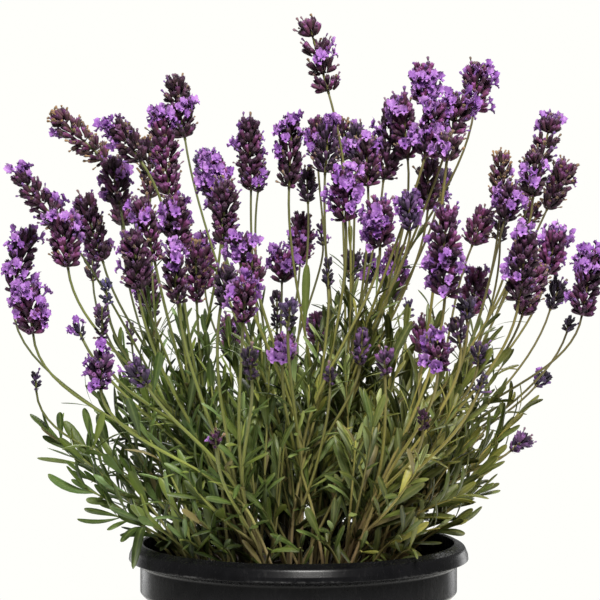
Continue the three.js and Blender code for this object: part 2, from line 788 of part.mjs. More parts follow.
// A closed solid of revolution about +Z. The profile runs from the axis round the outside and back.
function turnedGeometry(profile, sides, wobble = () => 0) {
  const points = [];
  const faces = [];
  const rings = profile.map(([radius, height], row) => {
    const count = radius === 0 ? 1 : sides;
    return Array.from({ length: count }, (_, corner) => {
      const angle = (2 * Math.PI * corner) / sides;
      const lift = wobble(row, corner);
      points.push(new THREE.Vector3(radius * Math.cos(angle), radius * Math.sin(angle), height + lift));
      return points.length - 1;
    });
  });
  for (let row = 0; row + 1 < rings.length; row += 1) {
    const [low, high] = [rings[row], rings[row + 1]];
    for (let corner = 0; corner < sides; corner += 1) {
      const next = (corner + 1) % sides;
      if (low.length > 1) {
        faces.push([low[corner], low[next], high[next % high.length]]);
      }
      if (high.length > 1) {
        faces.push([low[corner % low.length], high[next], high[corner]]);
      }
    }
  }
  return closedGeometry(points, faces);
}

function potGeometry() {
  return turnedGeometry(
    [
      [0, 0],
      [POT.baseRadius - POT.baseChamfer, 0],
      [POT.baseRadius, POT.baseChamfer],
      [POT.bodyTopRadius, POT.bodyTop],
      [POT.collarRadius, POT.collarBottom],
      [POT.collarRadius, POT.collarTop],
      [POT.lipRadius, POT.lipBottom],
      [POT.lipRadius, POT.lipTop],
      [POT.rimRadius, POT.height],
      [POT.collarRadius - POT.wall, POT.height],
      [POT.collarRadius - POT.wall, POT.collarBottom],
      [POT.bodyTopRadius - POT.wall, POT.bodyTop],
      [POT.baseRadius - POT.wall, POT.floor],
      [0, POT.floor],
    ],
    POT.sides,
  );
}

// The soil fills the pot to below its rim. Its lumpy top has a plain hole for every shoot.
function soilGeometry(shoots) {
  const clear = POT.wall + GAP.seat + GAP.hole;
  const draw = randomFrom(SEED.soil);
  const lumps = Array.from({ length: SOIL.rings * SOIL.sides }, () => draw(-SOIL.lump, 0));
  const topRadius = POT.collarRadius - clear;
  const profile = [
    [0, POT.floor + GAP.seat],
    [POT.baseRadius - clear, POT.floor + GAP.seat],
    [POT.bodyTopRadius - clear, POT.bodyTop],
    [topRadius, POT.collarBottom],
  ];
  const walls = profile.length;
  for (let ring = 0; ring < SOIL.rings; ring += 1) {
    profile.push([topRadius * (1 - ring / SOIL.rings), SOIL.top]);
  }
  profile.push([0, SOIL.top]);
  const wobble = (row, corner) => {
    const ring = row - walls;
    return ring < 0 || ring >= SOIL.rings ? 0 : lumps[ring * SOIL.sides + corner];
  };
  const body = toSolid(turnedGeometry(profile, SOIL.sides, wobble));
  const holes = shoots.map((shoot) => {
    const bottom = shoot.leader[0].clone().addScaledVector(shoot.direction, -GAP.seat);
    const top = apex.clone().addScaledVector(shoot.direction, soilReach(shoot.direction) + 6);
    const radius = LEADER.rootRadius + GAP.hole;
    return toSolid(stemGeometry([bottom, top], LEADER.sides + 1, radius, radius));
  });
  return toGeometry(body.subtract(Manifold.union(holes)));
}

const COLOURS = {
  pot: "#232325",
  soil: "#3a2c22",
  shoot: "#66723c",
  violet: "#6f4fa0",
  dark: "#43294f",
  withered: "#7b6146",
};

function piece(name, geometry, colour, roughness) {
  const material = new THREE.MeshStandardMaterial({ color: colour, roughness, metalness: 0 });
  const mesh = new THREE.Mesh(geometry.toNonIndexed(), material);
  mesh.geometry.computeVertexNormals();
  mesh.name = name;
  return mesh;
}

// Fresh heads are violet, spent ones dark, and withered ones brown.
function headColour(head) {
  return new THREE.Color(COLOURS.dark)
    .lerp(new THREE.Color(COLOURS.violet), Math.min(1, head.flowers / 8))
    .lerp(new THREE.Color(COLOURS.withered), head.withered);
}

function twoDigits(number) {
  return String(number).padStart(2, "0");
}

function buildPottedLavender() {
  const group = new THREE.Group();
  group.name = "potted_lavender";
  const shoots = layOutBush();
  shoots.forEach((shoot, index) => {
    shoot.index = index;
    shoot.leader = leaderPath(shoot);
    shoot.paths = shoot.heads.map((head) =>
      samplePath(stalkCurve(head, shoot.direction, shoot.borders), LEAF.stemSpans),
    );
    shoot.leaves = growLeaves(shoot);
  });
  group.add(piece("pot", potGeometry(), COLOURS.pot, 0.45));
  group.add(piece("soil", soilGeometry(shoots), COLOURS.soil, 1));
  for (const shoot of shoots) {
    const name = `leafy_stem_${twoDigits(shoot.index + 1)}`;
    group.add(piece(name, shootGeometry(shoot), COLOURS.shoot, 0.85));
  }
  const heads = shoots.flatMap((shoot) => shoot.heads).filter((head) => head.ownNode);
  heads.sort((a, b) => a.index - b.index);
  heads.forEach((head, rank) => {
    const name = `flower_head_${twoDigits(rank + 1)}`;
    group.add(piece(name, fuse(headSolids(head)), headColour(head), 0.8));
  });
  return group;
}

export default buildPottedLavender();
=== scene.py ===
"""A potted lavender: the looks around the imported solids. Sizes are millimetres until a piece is made."""

import json
import math
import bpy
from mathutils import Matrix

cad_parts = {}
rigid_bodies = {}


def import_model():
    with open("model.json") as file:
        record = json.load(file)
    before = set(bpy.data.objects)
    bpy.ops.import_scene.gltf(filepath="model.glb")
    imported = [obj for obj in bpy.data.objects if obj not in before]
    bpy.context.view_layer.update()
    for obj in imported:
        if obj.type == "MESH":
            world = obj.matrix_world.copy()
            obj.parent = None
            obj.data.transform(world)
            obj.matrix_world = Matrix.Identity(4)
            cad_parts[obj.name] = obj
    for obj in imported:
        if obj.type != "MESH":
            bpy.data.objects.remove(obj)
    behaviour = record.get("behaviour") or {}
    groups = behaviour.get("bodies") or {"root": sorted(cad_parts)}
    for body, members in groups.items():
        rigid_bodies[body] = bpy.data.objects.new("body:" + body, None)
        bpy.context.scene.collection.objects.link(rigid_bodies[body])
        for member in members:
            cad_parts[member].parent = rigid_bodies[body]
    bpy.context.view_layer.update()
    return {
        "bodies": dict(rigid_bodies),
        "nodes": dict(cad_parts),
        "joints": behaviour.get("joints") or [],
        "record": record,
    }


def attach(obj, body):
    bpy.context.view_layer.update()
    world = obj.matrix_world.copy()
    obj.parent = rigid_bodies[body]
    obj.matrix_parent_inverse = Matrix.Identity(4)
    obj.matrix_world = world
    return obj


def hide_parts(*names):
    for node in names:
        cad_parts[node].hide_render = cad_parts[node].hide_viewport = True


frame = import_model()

from types import SimpleNamespace

import bpy
import numpy as np
from mathutils import Vector

MM = 0.001
MESH_VALUES = ("tint", "along", "fade")
FULL_TURN = 2 * math.pi

# The pot's outline, from the axis under its floor, up its outside and down its inside. Each row holds a
# radius, a height and how far that corner is rounded.
POT_PROFILE = [
    (0.0, 0.0, 0.0),
    (66.0, 0.0, 0.0),
    (70.0, 0.6, 1.6),
    (89.5, 122.0, 2.0),
    (93.6, 126.0, 1.8),
    (93.6, 142.6, 1.4),
    (100.3, 145.4, 0.35),
    (100.0, 148.2, 1.4),
    (98.2, 152.6, 3.4),
    (93.7, 155.0, 1.6),
    (91.8, 155.0, 0.7),
    (91.8, 126.5, 1.6),
    (87.7, 122.0, 1.6),
    (68.4, 2.6, 2.0),
    (0.0, 2.4, 0.0),
]
POT_SIDES = 144
POT_HEIGHT = 155.0
POT_RIM_RADIUS = 93.4
POT_WALL = 1.8
LIP_RADIUS = 100.0
# Where the lip's lower edge lies, as a share of the pot's height. A broken light line along it is a
# painted highlight, as if caught on the edge's small burrs.
LIP_EDGE = 0.941

# The soil: its flat bottom, its wall as (radius, height) inside the pot, and the waves of its top as
# (size, height).
SOIL_TOP = 138.0
SOIL_LUMP = 1.6
SOIL_RADIUS = 91.5
SOIL_BOTTOM = 2.7
SOIL_WALL = [(68.0, SOIL_BOTTOM), (87.3, 121.9), (SOIL_RADIUS, 126.5)]
SOIL_SIDES = 120
SOIL_RINGS = 34
SOIL_WAVES = [(9, 0.7), (6, 0.5), (4, 0.45), (2.6, 0.35), (1.7, 0.25), (1.1, 0.18)] * 2
SOIL_WAVE_LIFT = 0.8
SOIL_TINT = 0.4
SOIL_CHIPS = 420
CHIP_SIZES = (0.8, 2.6)

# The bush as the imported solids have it. Every shoot fans out from one point below the soil, in its own
# cone of directions, and its stalks leave its leader at a fork.
APEX = np.array([0.0, 0.0, 80.0])
SHOOTS = 12
FIRST_SPREAD = 0.62
CLUSTER_ROUNDS = 14
OWN_NODES = 46
OUTWARD_LEAN = 0.7
ROOT_DEPTH = 24.0
FORK_LOWEST = 0.1
FORK_HIGHEST = 0.4
FORK_OVERRUN = 3.0
FIRST_HANDLE = 0.34
LAST_HANDLE = 0.3
STALK_ROOT_RADIUS = 1.3
STALK_NECK_RADIUS = 0.85
GAP_BETWEEN = 0.6

# How heads are pushed clear of stalks and borders: more in depth than across the picture.
PUSH_SWEEPS = 90
PUSH_STEP = 0.5
PUSH_SIDEWAYS = 0.12
SETTLE_SPANS = 5

# Leaf pairs along the stems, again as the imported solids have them.
LEAF_LONGEST = 37.0
LEAF_SHORTEST = 23.0
LEAF_WIDTH = 5.4
LEAF_PITCH = 17.0
LEAF_LEAST_TILT = 0.55
LEAF_MOST_TILT = 0.95
LEAF_FIRST_AT = 8.0
LEAFY_SHARE = 0.62
LEAF_TRIES = 7
LEAF_SWING = 0.3
LEAF_STEM_SPANS = 8

# Stems as seen: slimmer than the solids', and slimmer at the back, where they are also drawn darker as
# painted shade. Every third stalk has a foot of its own in the soil, some way from its shoot's middle.
LEADER_RADII = (1.38, 0.93)
LEADER_SIDES = 12
STALK_SLIMMING = 0.8
STALK_SIDES = 8
STALK_SQUARENESS = 0.14
LEADER_WAVE = 0.5
STALK_WAVE = 0.35
FRONT_THICKNESS = 0.98
BACK_THICKNESS = 0.76
THICKNESS_AND_SHADE_DEPTHS = (-100.0, 0.0)
OWN_FOOT_EVERY = 3
BUNDLE_NARROWEST = 4.0
BUNDLE_WIDEST = 17.0
BUNDLE_SHARE = 0.6

# Flower heads. A head closes towards its tip, and a small one is young: bluish and shut. A calyx leans
# most in the lowest tier of its whorl and in the lowest whorl. A pair of numbers is a range.
HEAD_BOW = 0.025
HEAD_TOP_RADIUS = 0.5
HEAD_SQUARENESS = 0.12
HEAD_CROWN = 4.0
CALYX_REACH = 7.2
CALYX_SHORTEST = 4.4
CALYX_LONGEST = 7.4
CALYX_WIDEST = 3.1
CALYX_BREADTH = 0.48
CALYX_OFFSETS = (0.3, 3.4)
CALYX_MOUTH_AT = 0.9
CALYX_MOST_LEAN = 1.12
CALYX_LEAN_BY_TIER = 0.24
CALYX_LEAN_BY_SHARE = 0.3
TOP_CALYX_LEANS = (0.1, 0.5)
TOP_CALYX_LENGTHS = (4.2, 5.6)
TIERS = 3
DENSE_PITCH = 6.5
TIP_CLOSES_AT = 0.6
TIP_TAPER = 0.42
TIP_LIFT = 0.25
SMALL_HEAD = 6.0
YOUTH = 0.65
BRACTS_IN_WHORL = 5
BRACT_WIDTH = 3.0
BRACT_LENGTH = 4.4

# Open florets for each one read, how many open side by side, and how far such a cluster spreads.
FLORETS_PER_READ = 3.4
FLORETS_TOGETHER = 6
FLORET_CLUSTER = 7.0
FLORET_VARIANTS = 6
FLORET_SIZES = (2.4, 3.6)
SPENT_WIDTHS = (1.6, 2.8)
SPENT_DEPTHS = (1.2, 2.2)
SPENT_LENGTHS = (2.0, 4.0)

# How far leaves and branches keep from the pot and the soil.
CLEARANCE = 0.6

# Leaves as seen: narrower high up, and in tufts of young ones at the strongest leaf pairs.
SLIM_HEIGHTS = (190.0, 270.0)
SLIMMEST_HIGH_UP = 0.7
LEAF_SLIMMEST = 0.66
LEAF_TWIST = 0.5
TUFT_LEAST = 0.73
TUFT_LENGTHS = (9.0, 21.0)
TUFT_BREADTH = 0.17
TUFT_TWIST = 0.6

# Branches without flowers. The low ones grow along each shoot. The skirt is the outermost ones: some were
# read off the photograph, and the others, at the sides and the back, are guessed within these ranges.
BRANCH_SPANS = 14
BRANCH_RADII = (1.0, 0.45)
BRANCH_SQUARENESS = 0.12
BRANCH_PITCHES = (12.0, 20.0)
BRANCH_TILTS = (0.35, 1.25)
BRANCH_LEAF_BREADTHS = (0.14, 0.2)
LOW_BRANCHES = 9
LOW_SPREADS = (0.15, 0.55)
LOW_ROOTS = (-2.0, 34.0)
LOW_LENGTHS = (50.0, 115.0)
LOW_RISES = (0.02, 0.2)
LOW_LEAF_LENGTHS = (23.0, 36.0)
SKIRT_BRANCHES = 26
SKIRT_READ_RISE = 10.0
SKIRT_RISES = (4.0, 12.0)
SKIRT_ROOT_REACHES = (25.0, 50.0)
SKIRT_TIP_REACHES = (92.0, 128.0)
SKIRT_TIP_HEIGHTS = (172.0, 215.0)
SKIRT_LEAF_LENGTHS = (26.0, 36.0)
# A leaf root in the picture is at most this many pixels from the stem that carries it.
LEAF_READ_REACH = 14.0

# The stalks of heads nearer than this stand bare before the leaves: of the leaves that would hide one,
# this share is left out.
FRONT_DEPTH = -75.0
STALK_HALF_PIXELS = 1.4
BARED_SHARE = 0.62
# A tint of this value makes a leaf dry and brown.
DEAD = -1.0
DEAD_SHARE = 0.02

# Colours: tints laid over the greens, which change from left to right and darken the left as painted
# shade, and the painted shade at the heart of the bush, which lies behind its axis and fades out with
# height. Lengths are metres here.
COOL_SHADE = (0.82, 0.93, 0.8)
WARM = (1.1, 0.93, 0.88)
COOL_SHADE_UNTIL = -0.05
WARM_FROM = 0.08
BLUISH = (0.8, 0.98, 1.6)
YELLOWISH = (1.12, 1.0, 0.7)
HUE_TURNS = 7.3
HEART_SHADE = (0.008, 0.008, 0.004)
HEART_SHADE_BACK = 0.022
HEART_SHADE_TOP = 0.205
HEART_SHADE_DARKEST_AT = 0.142
HEART_SHADE_STRENGTH = 0.75

# Seeds of the random draws, each for one kind of thing. Heads and shoots add their own number.
SEED_SOIL = 77
SEED_LEADER_LEAVES = 900
SEED_STALK_LEAVES = 2000
SEED_FLORETS = 31
SEED_LEAVES = 100
SEED_STEMS = 300
SEED_SPREADS = 820
SEED_HEADS = 4000
SEED_SKIRT = 5150
SEED_READ_LEAVES = 6262
SEED_LOW_BRANCHES = 7000
SEED_WAITING_LEAVES = 8080
SEED_TUFTS = 60000

# Where the camera of the photograph stood, worked out from the pot's rim in the picture.
CAMERA_X = 0.8
CAMERA_DISTANCE = 1500.0
CAMERA_HEIGHT = 362.5
CAMERA_PITCH = math.radians(2.47)
PHOTO_MIDDLE = 300.0
PHOTO_FOCAL = 2548.0
SENSOR_WIDTH = 36.0

# The studio, in metres and watts. Each light has its place, the point that it faces, its width and
# height, its power and its colour. The two low ones behind are seen mirrored in the pot's sides.
ROOM_LIGHT = 0.26
ROOM_COLOUR = (1.0, 1.0, 0.98, 1)
PAPER_COLOUR = (1.0, 1.0, 0.965, 1)
BUSH_MIDDLE = (0.0, 0.0, 0.28)
POT_MIDDLE = (0.0, 0.0, 0.1)
WHITE = (1.0, 1.0, 1.0)
LIGHTS = {
    "key": ((0.25, -1.6, 1.9), BUSH_MIDDLE, (0.8, 0.8), 104, (1.0, 0.98, 0.94)),
    "front": ((0.0, -1.2, 1.75), BUSH_MIDDLE, (0.4, 0.14), 17, (1.0, 1.0, 0.98)),
    "left": ((-0.98, 1.45, 0.1), POT_MIDDLE, (0.5, 0.5), 2.3, WHITE),
    "right": ((0.98, 1.45, 0.1), POT_MIDDLE, (0.5, 0.5), 1.7, WHITE),
    "back": ((0.2, 1.6, 1.6), BUSH_MIDDLE, (1.6, 1.0), 40, WHITE),
}
FLOOR_RADIUS = 0.7
FLOOR_SIDES = 48

# The flower heads, read off the photograph. Each row holds the pixel where the stalk meets the
# head, the pixel of the head's tip, the depth behind (+) or before (-) the pot's axis in millimetres,
# the head's half width in pixels, its open flowers, how withered it is, and its whorl spacing in mm.
# A withered value below nought draws the head's florets deeper, as painted shade.
HEAD_READINGS = [
    (105, 160, 52, 110, 70, 14, 0.6, 1, 8),
    (140, 160, 112, 123, -60, 14, 4, 0.4, 6),
    (120, 205, 112, 155, -30, 15, 4, 0.2, 6),
    (122, 225, 121, 195, 85, 12, 0, 0.4, 6),
    (60, 225, 18, 171, 30, 14, 4, 0.3, 8),
    (68, 268, 62, 215, -45, 16, 4, 0.2, 6),
    (103, 262, 85, 193, -15, 14, 4, 0.3, 6),
    (15, 292, 29, 229, 50, 20, 8, 0, 6.5),
    (33, 333, 30, 285, -40, 20, 8, 0, 6.5),
    (93, 282, 92, 257, 90, 7, 0, 0.4, 6),
    (107, 304, 105, 277, -60, 7, 0, -1, 6),
    (102, 340, 102, 303, -90, 8, 0, 0.3, 6),
    (138, 290, 130, 231, -85, 15, 2, 0.3, 6),
    (83, 340, 75, 325, -70, 6, 1.8, 0, 6),
    (132, 345, 130, 322, 100, 5, 0, 0.3, 6),
    (101, 388, 100, 355, -100, 12, 3.6, -0.3, 6),
    (146, 385, 132, 363, -120, 10, 0.3, 0.1, 6),
    (36, 391, 35, 372, -10, 5, 0, 0, 6),
    (185, 139, 175, 73, 50, 15, 4, 0.4, 7),
    (172, 198, 163, 111, -10, 14, 4, 0.3, 6.5),
    (150, 200, 147, 136, 95, 10, 0, 1, 7),
    (155, 262, 140, 195, -70, 12, 2, 0.4, 6),
    (180, 250, 176, 197, -60, 15, 4, 0.2, 6),
    (178, 303, 172, 245, -100, 11, 3, 0.3, 6),
    (195, 303, 193, 240, -50, 9, 0, 0.7, 6),
    (210, 195, 203, 147, 100, 11, 0, -0.7, 6),
    (228, 205, 222, 155, -30, 17, 7, 0, 6),
    (221, 245, 222, 180, -75, 14, 1, 0.3, 6),
    (251, 190, 250, 117, 0, 13, 6, 0.2, 6.5),
    (258, 192, 262, 165, 100, 7, 0, 0.4, 6),
    (240, 262, 240, 236, -110, 13, 4, 0.2, 6),
    (256, 284, 250, 256, -80, 11, 0, 0.4, 6),
    (221, 305, 228, 264, -115, 10, 0, 0.4, 6),
    (243, 321, 243, 280, -140, 13, 5, 0.1, 6),
    (252, 380, 251, 346, -155, 8, 0, 0.2, 6),
    (325, 93, 303, 17, 5, 15, 1.4, 0.5, 10),
    (289, 188, 292, 118, -30, 12, 4, 0.2, 6.5),
    (312, 160, 310, 115, 80, 10, 3, 0.2, 6),
    (325, 174, 327, 118, -20, 10, 3, 0.4, 6),
    (342, 162, 343, 118, 70, 9, 0, 0.7, 6),
    (356, 170, 357, 120, 45, 9, 3, 0.2, 6),
    (308, 203, 306, 166, 105, 9, 0, 0.4, 6),
    (346, 220, 342, 168, -60, 14, 7, 0, 6),
    (368, 187, 366, 140, -25, 14, 1, 0.4, 6),
    (383, 181, 391, 103, 15, 15, 5, 0.2, 6.5),
    (380, 247, 377, 198, -85, 19, 7, 0.1, 6),
    (282, 283, 282, 252, 60, 14, 5, 0.3, 7),
    (277, 330, 276, 287, 100, 6, 0, 0.3, 6),
    (288, 328, 290, 297, -120, 8, 0, 0, 6),
    (283, 362, 285, 335, -90, 11, 3, 0.1, 6),
    (323, 245, 321, 222, 120, 5, 1, 0.2, 6),
    (329, 287, 329, 256, -60, 6, 0, 0, 6),
    (353, 283, 353, 253, 110, 8, 0, 0.3, 6),
    (367, 285, 370, 250, 50, 8, 2, 0.2, 6),
    (360, 366, 364, 326, -70, 7, 0, 0.2, 6),
    (385, 374, 384, 350, -100, 8, 0, 0.3, 6),
    (330, 385, 330, 366, -80, 6, 0, 0.2, 6),
    (426, 104, 423, 63, 40, 15, 5, 0.1, 6),
    (410, 159, 403, 92, -15, 12, 4, 0.3, 6.5),
    (425, 157, 441, 98, -45, 13, 8, 0, 6),
    (474, 110, 480, 62, 30, 15, 6, 0.2, 7),
    (451, 134, 463, 95, -25, 15, 5, 0.3, 7),
    (443, 160, 446, 134, -75, 11, 2, 0.6, 6),
    (426, 210, 430, 157, -20, 12, 0, 0.4, 6),
    (437, 207, 447, 167, 60, 8, 4, 0.1, 6),
    (410, 232, 408, 190, -50, 9, 4, 0.1, 6),
    (494, 199, 495, 148, 45, 11, 0.3, 1, 7),
    (445, 295, 449, 204, -95, 20, 8, 0.1, 7),
    (472, 246, 487, 209, 60, 13, 1, 0.5, 6),
    (500, 242, 500, 219, 80, 8, 0, 0.4, 6),
    (504, 222, 514, 184, 30, 12, 4, 0.1, 6),
    (408, 320, 409, 301, 110, 5, 0, 0, 6),
    (467, 320, 465, 298, -70, 9, 0, 0, 6),
    (460, 343, 456, 321, -85, 9, 0, 0.4, 6),
    (438, 368, 438, 343, -130, 15, 4, 0.1, 6),
    (478, 364, 480, 344, -60, 8, 0, 0.2, 6),
    (478, 392, 484, 375, -100, 5, 0, 0, 6),
    (540, 162, 552, 114, 40, 12, 2.4, 0.4, 8),
    (533, 198, 536, 149, -20, 12, 2.4, 0.5, 7),
    (548, 211, 570, 162, 70, 12, 2, 0.6, 6),
    (528, 224, 533, 205, 95, 9, 0, 0.8, 6),
    (519, 300, 527, 231, -60, 17, 6, 0.2, 6.5),
    (522, 316, 540, 262, -20, 13, 1, 0.6, 6),
    (546, 272, 556, 228, 60, 14, 8, 0, 6),
    (582, 315, 592, 250, 10, 16, 8, 0, 6.5),
    (550, 310, 559, 279, 75, 9, 0, 0.2, 5.5),
    (567, 332, 571, 319, 40, 6, 0, 0, 6),
    (535, 387, 549, 372, 50, 6, 1, 0, 6),
    (511, 451, 527, 437, -10, 9, 0, 0.2, 6),
    (423, 431, 424, 408, -110, 4, 0, 0.8, 6),
    (216, 448, 215, 432, -140, 4, 0.2, 0.8, 6),
]

# Heads at the back of the bush, which the photograph hides: guessed after the ones in front.
HIDDEN_READINGS = [
    (150, 318, 142, 262, 95, 12, 3, 0.3, 6),
    (205, 290, 200, 236, 120, 13, 4, 0.2, 6),
    (232, 352, 228, 318, 145, 11, 2, 0.3, 6),
    (300, 262, 302, 212, 125, 12, 4, 0.2, 6),
    (318, 350, 320, 312, 150, 12, 3, 0.2, 6),
    (392, 300, 396, 244, 125, 13, 4, 0.3, 6),
    (420, 352, 426, 318, 140, 11, 2, 0.4, 6),
    (470, 316, 480, 268, 95, 12, 4, 0.2, 6),
]

# Branches without flowers at the edges of the bush, read off the photograph. Each row holds the
# root's pixel column and depth, the tip's pixel and depth, and the length of its leaves in mm.
BRANCH_READINGS = [
    (190, 0, 47, 432, 5, 27),
    (185, -10, 84, 488, -20, 30),
    (195, 10, 70, 455, 40, 28),
    (200, -10, 110, 515, -25, 30),
    (205, -35, 142, 522, -62, 32),
    (215, -20, 120, 470, -30, 28),
    (215, -40, 165, 500, -70, 30),
    (230, -50, 200, 520, -78, 30),
    (290, -45, 262, 508, -70, 34),
    (325, -45, 332, 530, -75, 30),
    (365, -45, 405, 535, -72, 30),
    (380, -20, 440, 528, -40, 28),
    (395, 0, 462, 524, 0, 28),
    (392, 10, 480, 492, 20, 27),
    (395, 0, 500, 455, 10, 27),
    (390, 10, 508, 405, 30, 26),
    (385, 0, 505, 362, 10, 24),
    (385, 20, 470, 430, 60, 28),
    (175, -30, 128, 532, -42, 26),
    (345, -50, 318, 540, -80, 26),
    (262, -50, 276, 546, -78, 24),
    (238, -48, 222, 549, -76, 22),
    (302, -52, 300, 548, -80, 24),
    (352, -50, 362, 552, -80, 24),
    (384, -42, 416, 551, -72, 24),
    (215, -30, 180, 540, -68, 24),
    (196, 5, 104, 404, 10, 27),
    (202, -20, 122, 392, -25, 27),
    (205, 15, 146, 372, 40, 25),
    (198, -25, 92, 446, -30, 28),
    (212, -30, 150, 440, -50, 28),
    (382, 10, 468, 356, 15, 24),
    (378, -10, 446, 392, -20, 26),
    (384, -20, 470, 440, -25, 27),
    (372, -30, 430, 430, -50, 28),
    (380, 15, 488, 400, 30, 25),
    (215, -10, 148, 326, -20, 25),
    (225, 10, 178, 318, 20, 25),
    (230, -30, 204, 324, -45, 26),
    (240, 20, 228, 332, 40, 24),
    (255, -35, 252, 336, -60, 25),
    (285, 0, 288, 330, 10, 25),
    (310, -30, 326, 322, -40, 26),
    (335, 10, 372, 320, 30, 25),
    (345, -30, 405, 330, -35, 26),
    (360, 0, 436, 328, 10, 25),
    (205, 0, 122, 352, 10, 26),
]

# Single leaves read off the photograph. Each row holds the root's pixel, the tip's pixel, how far
# the tip lies before the root and how wide the leaf is in mm, and how far it arches, as a share.
LEAF_READINGS = [
    (58, 448, 30, 414, 3, 5.4, 0.06),
    (57, 446, 60, 412, 0, 4.6, 0.1),
    (84, 472, 37, 458, 6, 3.6, 0.03),
    (95, 493, 48, 474, 8, 6.0, -0.08),
    (96, 466, 64, 421, -4, 6.4, 0.05),
    (89, 436, 84, 408, 0, 4.4, 0.05),
    (116, 507, 86, 500, 6, 5.0, 0.06),
    (121, 518, 84, 509, 8, 5.0, 0.04),
    (120, 522, 77, 519, 12, 3.4, -0.06),
    (128, 528, 107, 530, 8, 4.6, 0.08),
    (138, 536, 121, 542, 24, 4.6, 0.12),
    (146, 534, 133, 569, 34, 5.6, 0.3),
    (173, 522, 168, 546, 12, 5.0, 0.16),
    (205, 534, 160, 551, 14, 5.0, 0.26),
    (190, 536, 191, 562, 14, 5.2, 0.3),
    (206, 549, 231, 562, 8, 4.4, 0.14),
    (238, 519, 293, 508, 10, 6.4, 0.1),
    (214, 522, 266, 534, 12, 4.6, 0.1),
    (196, 534, 222, 520, 8, 5.0, 0.08),
    (222, 505, 185, 488, 12, 5.4, 0.08),
    (150, 515, 118, 492, 6, 5.0, 0.06),
    (283, 512, 312, 478, 10, 6.0, 0.06),
    (318, 556, 354, 533, 12, 6.0, 0.08),
    (330, 548, 296, 530, 10, 5.2, 0.1),
    (372, 552, 398, 562, 10, 4.8, 0.14),
    (352, 540, 386, 520, 10, 5.6, 0.1),
    (388, 372, 412, 321, 4, 4.6, 0.05),
    (302, 330, 307, 264, 4, 4.8, 0.04),
    (488, 378, 511, 348, 4, 4.6, 0.05),
    (484, 410, 506, 385, 4, 4.6, 0.05),
    (492, 450, 520, 425, 4, 5.0, 0.05),
    (482, 468, 507, 445, 4, 5.0, 0.05),
    (480, 478, 505, 461, 4, 5.0, 0.05),
    (466, 500, 494, 483, 4, 5.0, 0.05),
    (446, 522, 473, 509, 4, 4.8, 0.05),
    (442, 530, 468, 520, 6, 4.6, 0.05),
    (436, 534, 465, 534, 6, 5.0, 0.08),
    (258, 556, 304, 551, 8, 5.0, 0.1),
    (384, 540, 428, 531, 8, 6.4, 0.06),
    (362, 532, 402, 520, 8, 5.0, 0.06),
    (366, 548, 422, 557, 30, 5.8, 0.12),
    (300, 552, 270, 534, 10, 4.8, 0.08),
    (248, 548, 214, 552, 10, 4.6, 0.12),
    (322, 540, 306, 508, 10, 5.0, 0.04),
    (90, 440, 103, 412, 4, 5.0, 0.04),
    (112, 452, 98, 414, 6, 5.6, 0.05),
    (108, 438, 124, 402, 6, 5.2, 0.05),
    (128, 448, 116, 410, 6, 5.4, 0.05),
    (140, 440, 128, 398, 6, 5.4, 0.05),
    (136, 412, 122, 376, 4, 5.0, 0.05),
    (152, 420, 142, 378, 6, 5.4, 0.05),
    (150, 396, 160, 352, 6, 5.0, 0.05),
    (172, 410, 160, 366, 6, 5.4, 0.05),
    (186, 420, 196, 372, 6, 5.0, 0.05),
    (456, 400, 476, 366, 4, 5.0, 0.05),
    (440, 420, 462, 384, 6, 5.2, 0.05),
    (462, 430, 488, 404, 4, 5.0, 0.05),
    (430, 400, 446, 360, 6, 5.0, 0.05),
    (448, 460, 478, 436, 6, 5.2, 0.05),
    (470, 380, 492, 348, 4, 4.8, 0.05),
    (368, 540, 396, 514, 12, 4.6, 0.06),
    (362, 522, 344, 486, 12, 4.8, 0.05),
    (376, 505, 404, 480, 12, 4.6, 0.05),
    (370, 496, 380, 452, 12, 5.0, 0.05),
    (386, 482, 412, 456, 12, 4.4, 0.05),
    (380, 524, 416, 508, 12, 4.6, 0.06),
    (394, 470, 400, 428, 12, 4.4, 0.05),
]


def random_from(seed):
    """Seeded random numbers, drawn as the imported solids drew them."""
    state = [(seed * 7919 + 104729) % 4294967296]

    def draw(low, high):
        state[0] = (state[0] * 1664525 + 1013904223) % 4294967296
        return low + (high - low) * state[0] / 4294967296

    draw(0, 1)
    draw(0, 1)
    return draw


def unit(vector):
    return vector / max(float(np.linalg.norm(vector)), 1e-12)


def square_to(vector, axis):
    """The part of a vector that stands square to an axis, at unit length."""
    return unit(vector - axis * float(vector @ axis))


def cross_frame(axis):
    """Two directions at right angles to an axis and to each other."""
    helper = np.array([0.0, 1.0, 0.0]) if abs(axis[1]) < 0.8 else np.array([1.0, 0.0, 0.0])
    side = unit(np.cross(helper, axis))
    return side, np.cross(axis, side)


def turned(square, turn):
    """The direction at a turn in the plane of two square directions."""
    return square[0] * math.cos(turn) + square[1] * math.sin(turn)


def scatter(square, rng):
    """A random step in the plane of two square directions."""
    return square[0] * rng.normal() + square[1] * rng.normal()


def corner_angles(sides):
    return np.arange(sides) * FULL_TURN / sides


def arc(start, control, end, t):
    """Points at shares t along a curve that its control point bends."""
    return start * (1 - t) ** 2 + control * 2 * t * (1 - t) + end * t**2


def bezier_points(curve, spans):
    t = np.linspace(0, 1, spans + 1)[:, None]
    rest = 1 - t
    return (
        curve[0] * rest**3
        + curve[1] * 3 * rest**2 * t
        + curve[2] * 3 * rest * t**2
        + curve[3] * t**3
    )


def from_photo(pixel_x, pixel_y, depth):
    """The point in space seen at a pixel of the photograph, at a given depth."""
    right = (pixel_x - PHOTO_MIDDLE) / PHOTO_FOCAL
    up = (PHOTO_MIDDLE - pixel_y) / PHOTO_FOCAL
    sine = math.sin(CAMERA_PITCH)
    cosine = math.cos(CAMERA_PITCH)
    reach = (depth + CAMERA_DISTANCE) / (cosine + up * sine)
    return np.array([CAMERA_X + reach * right, depth, CAMERA_HEIGHT + reach * (up * cosine - sine)])


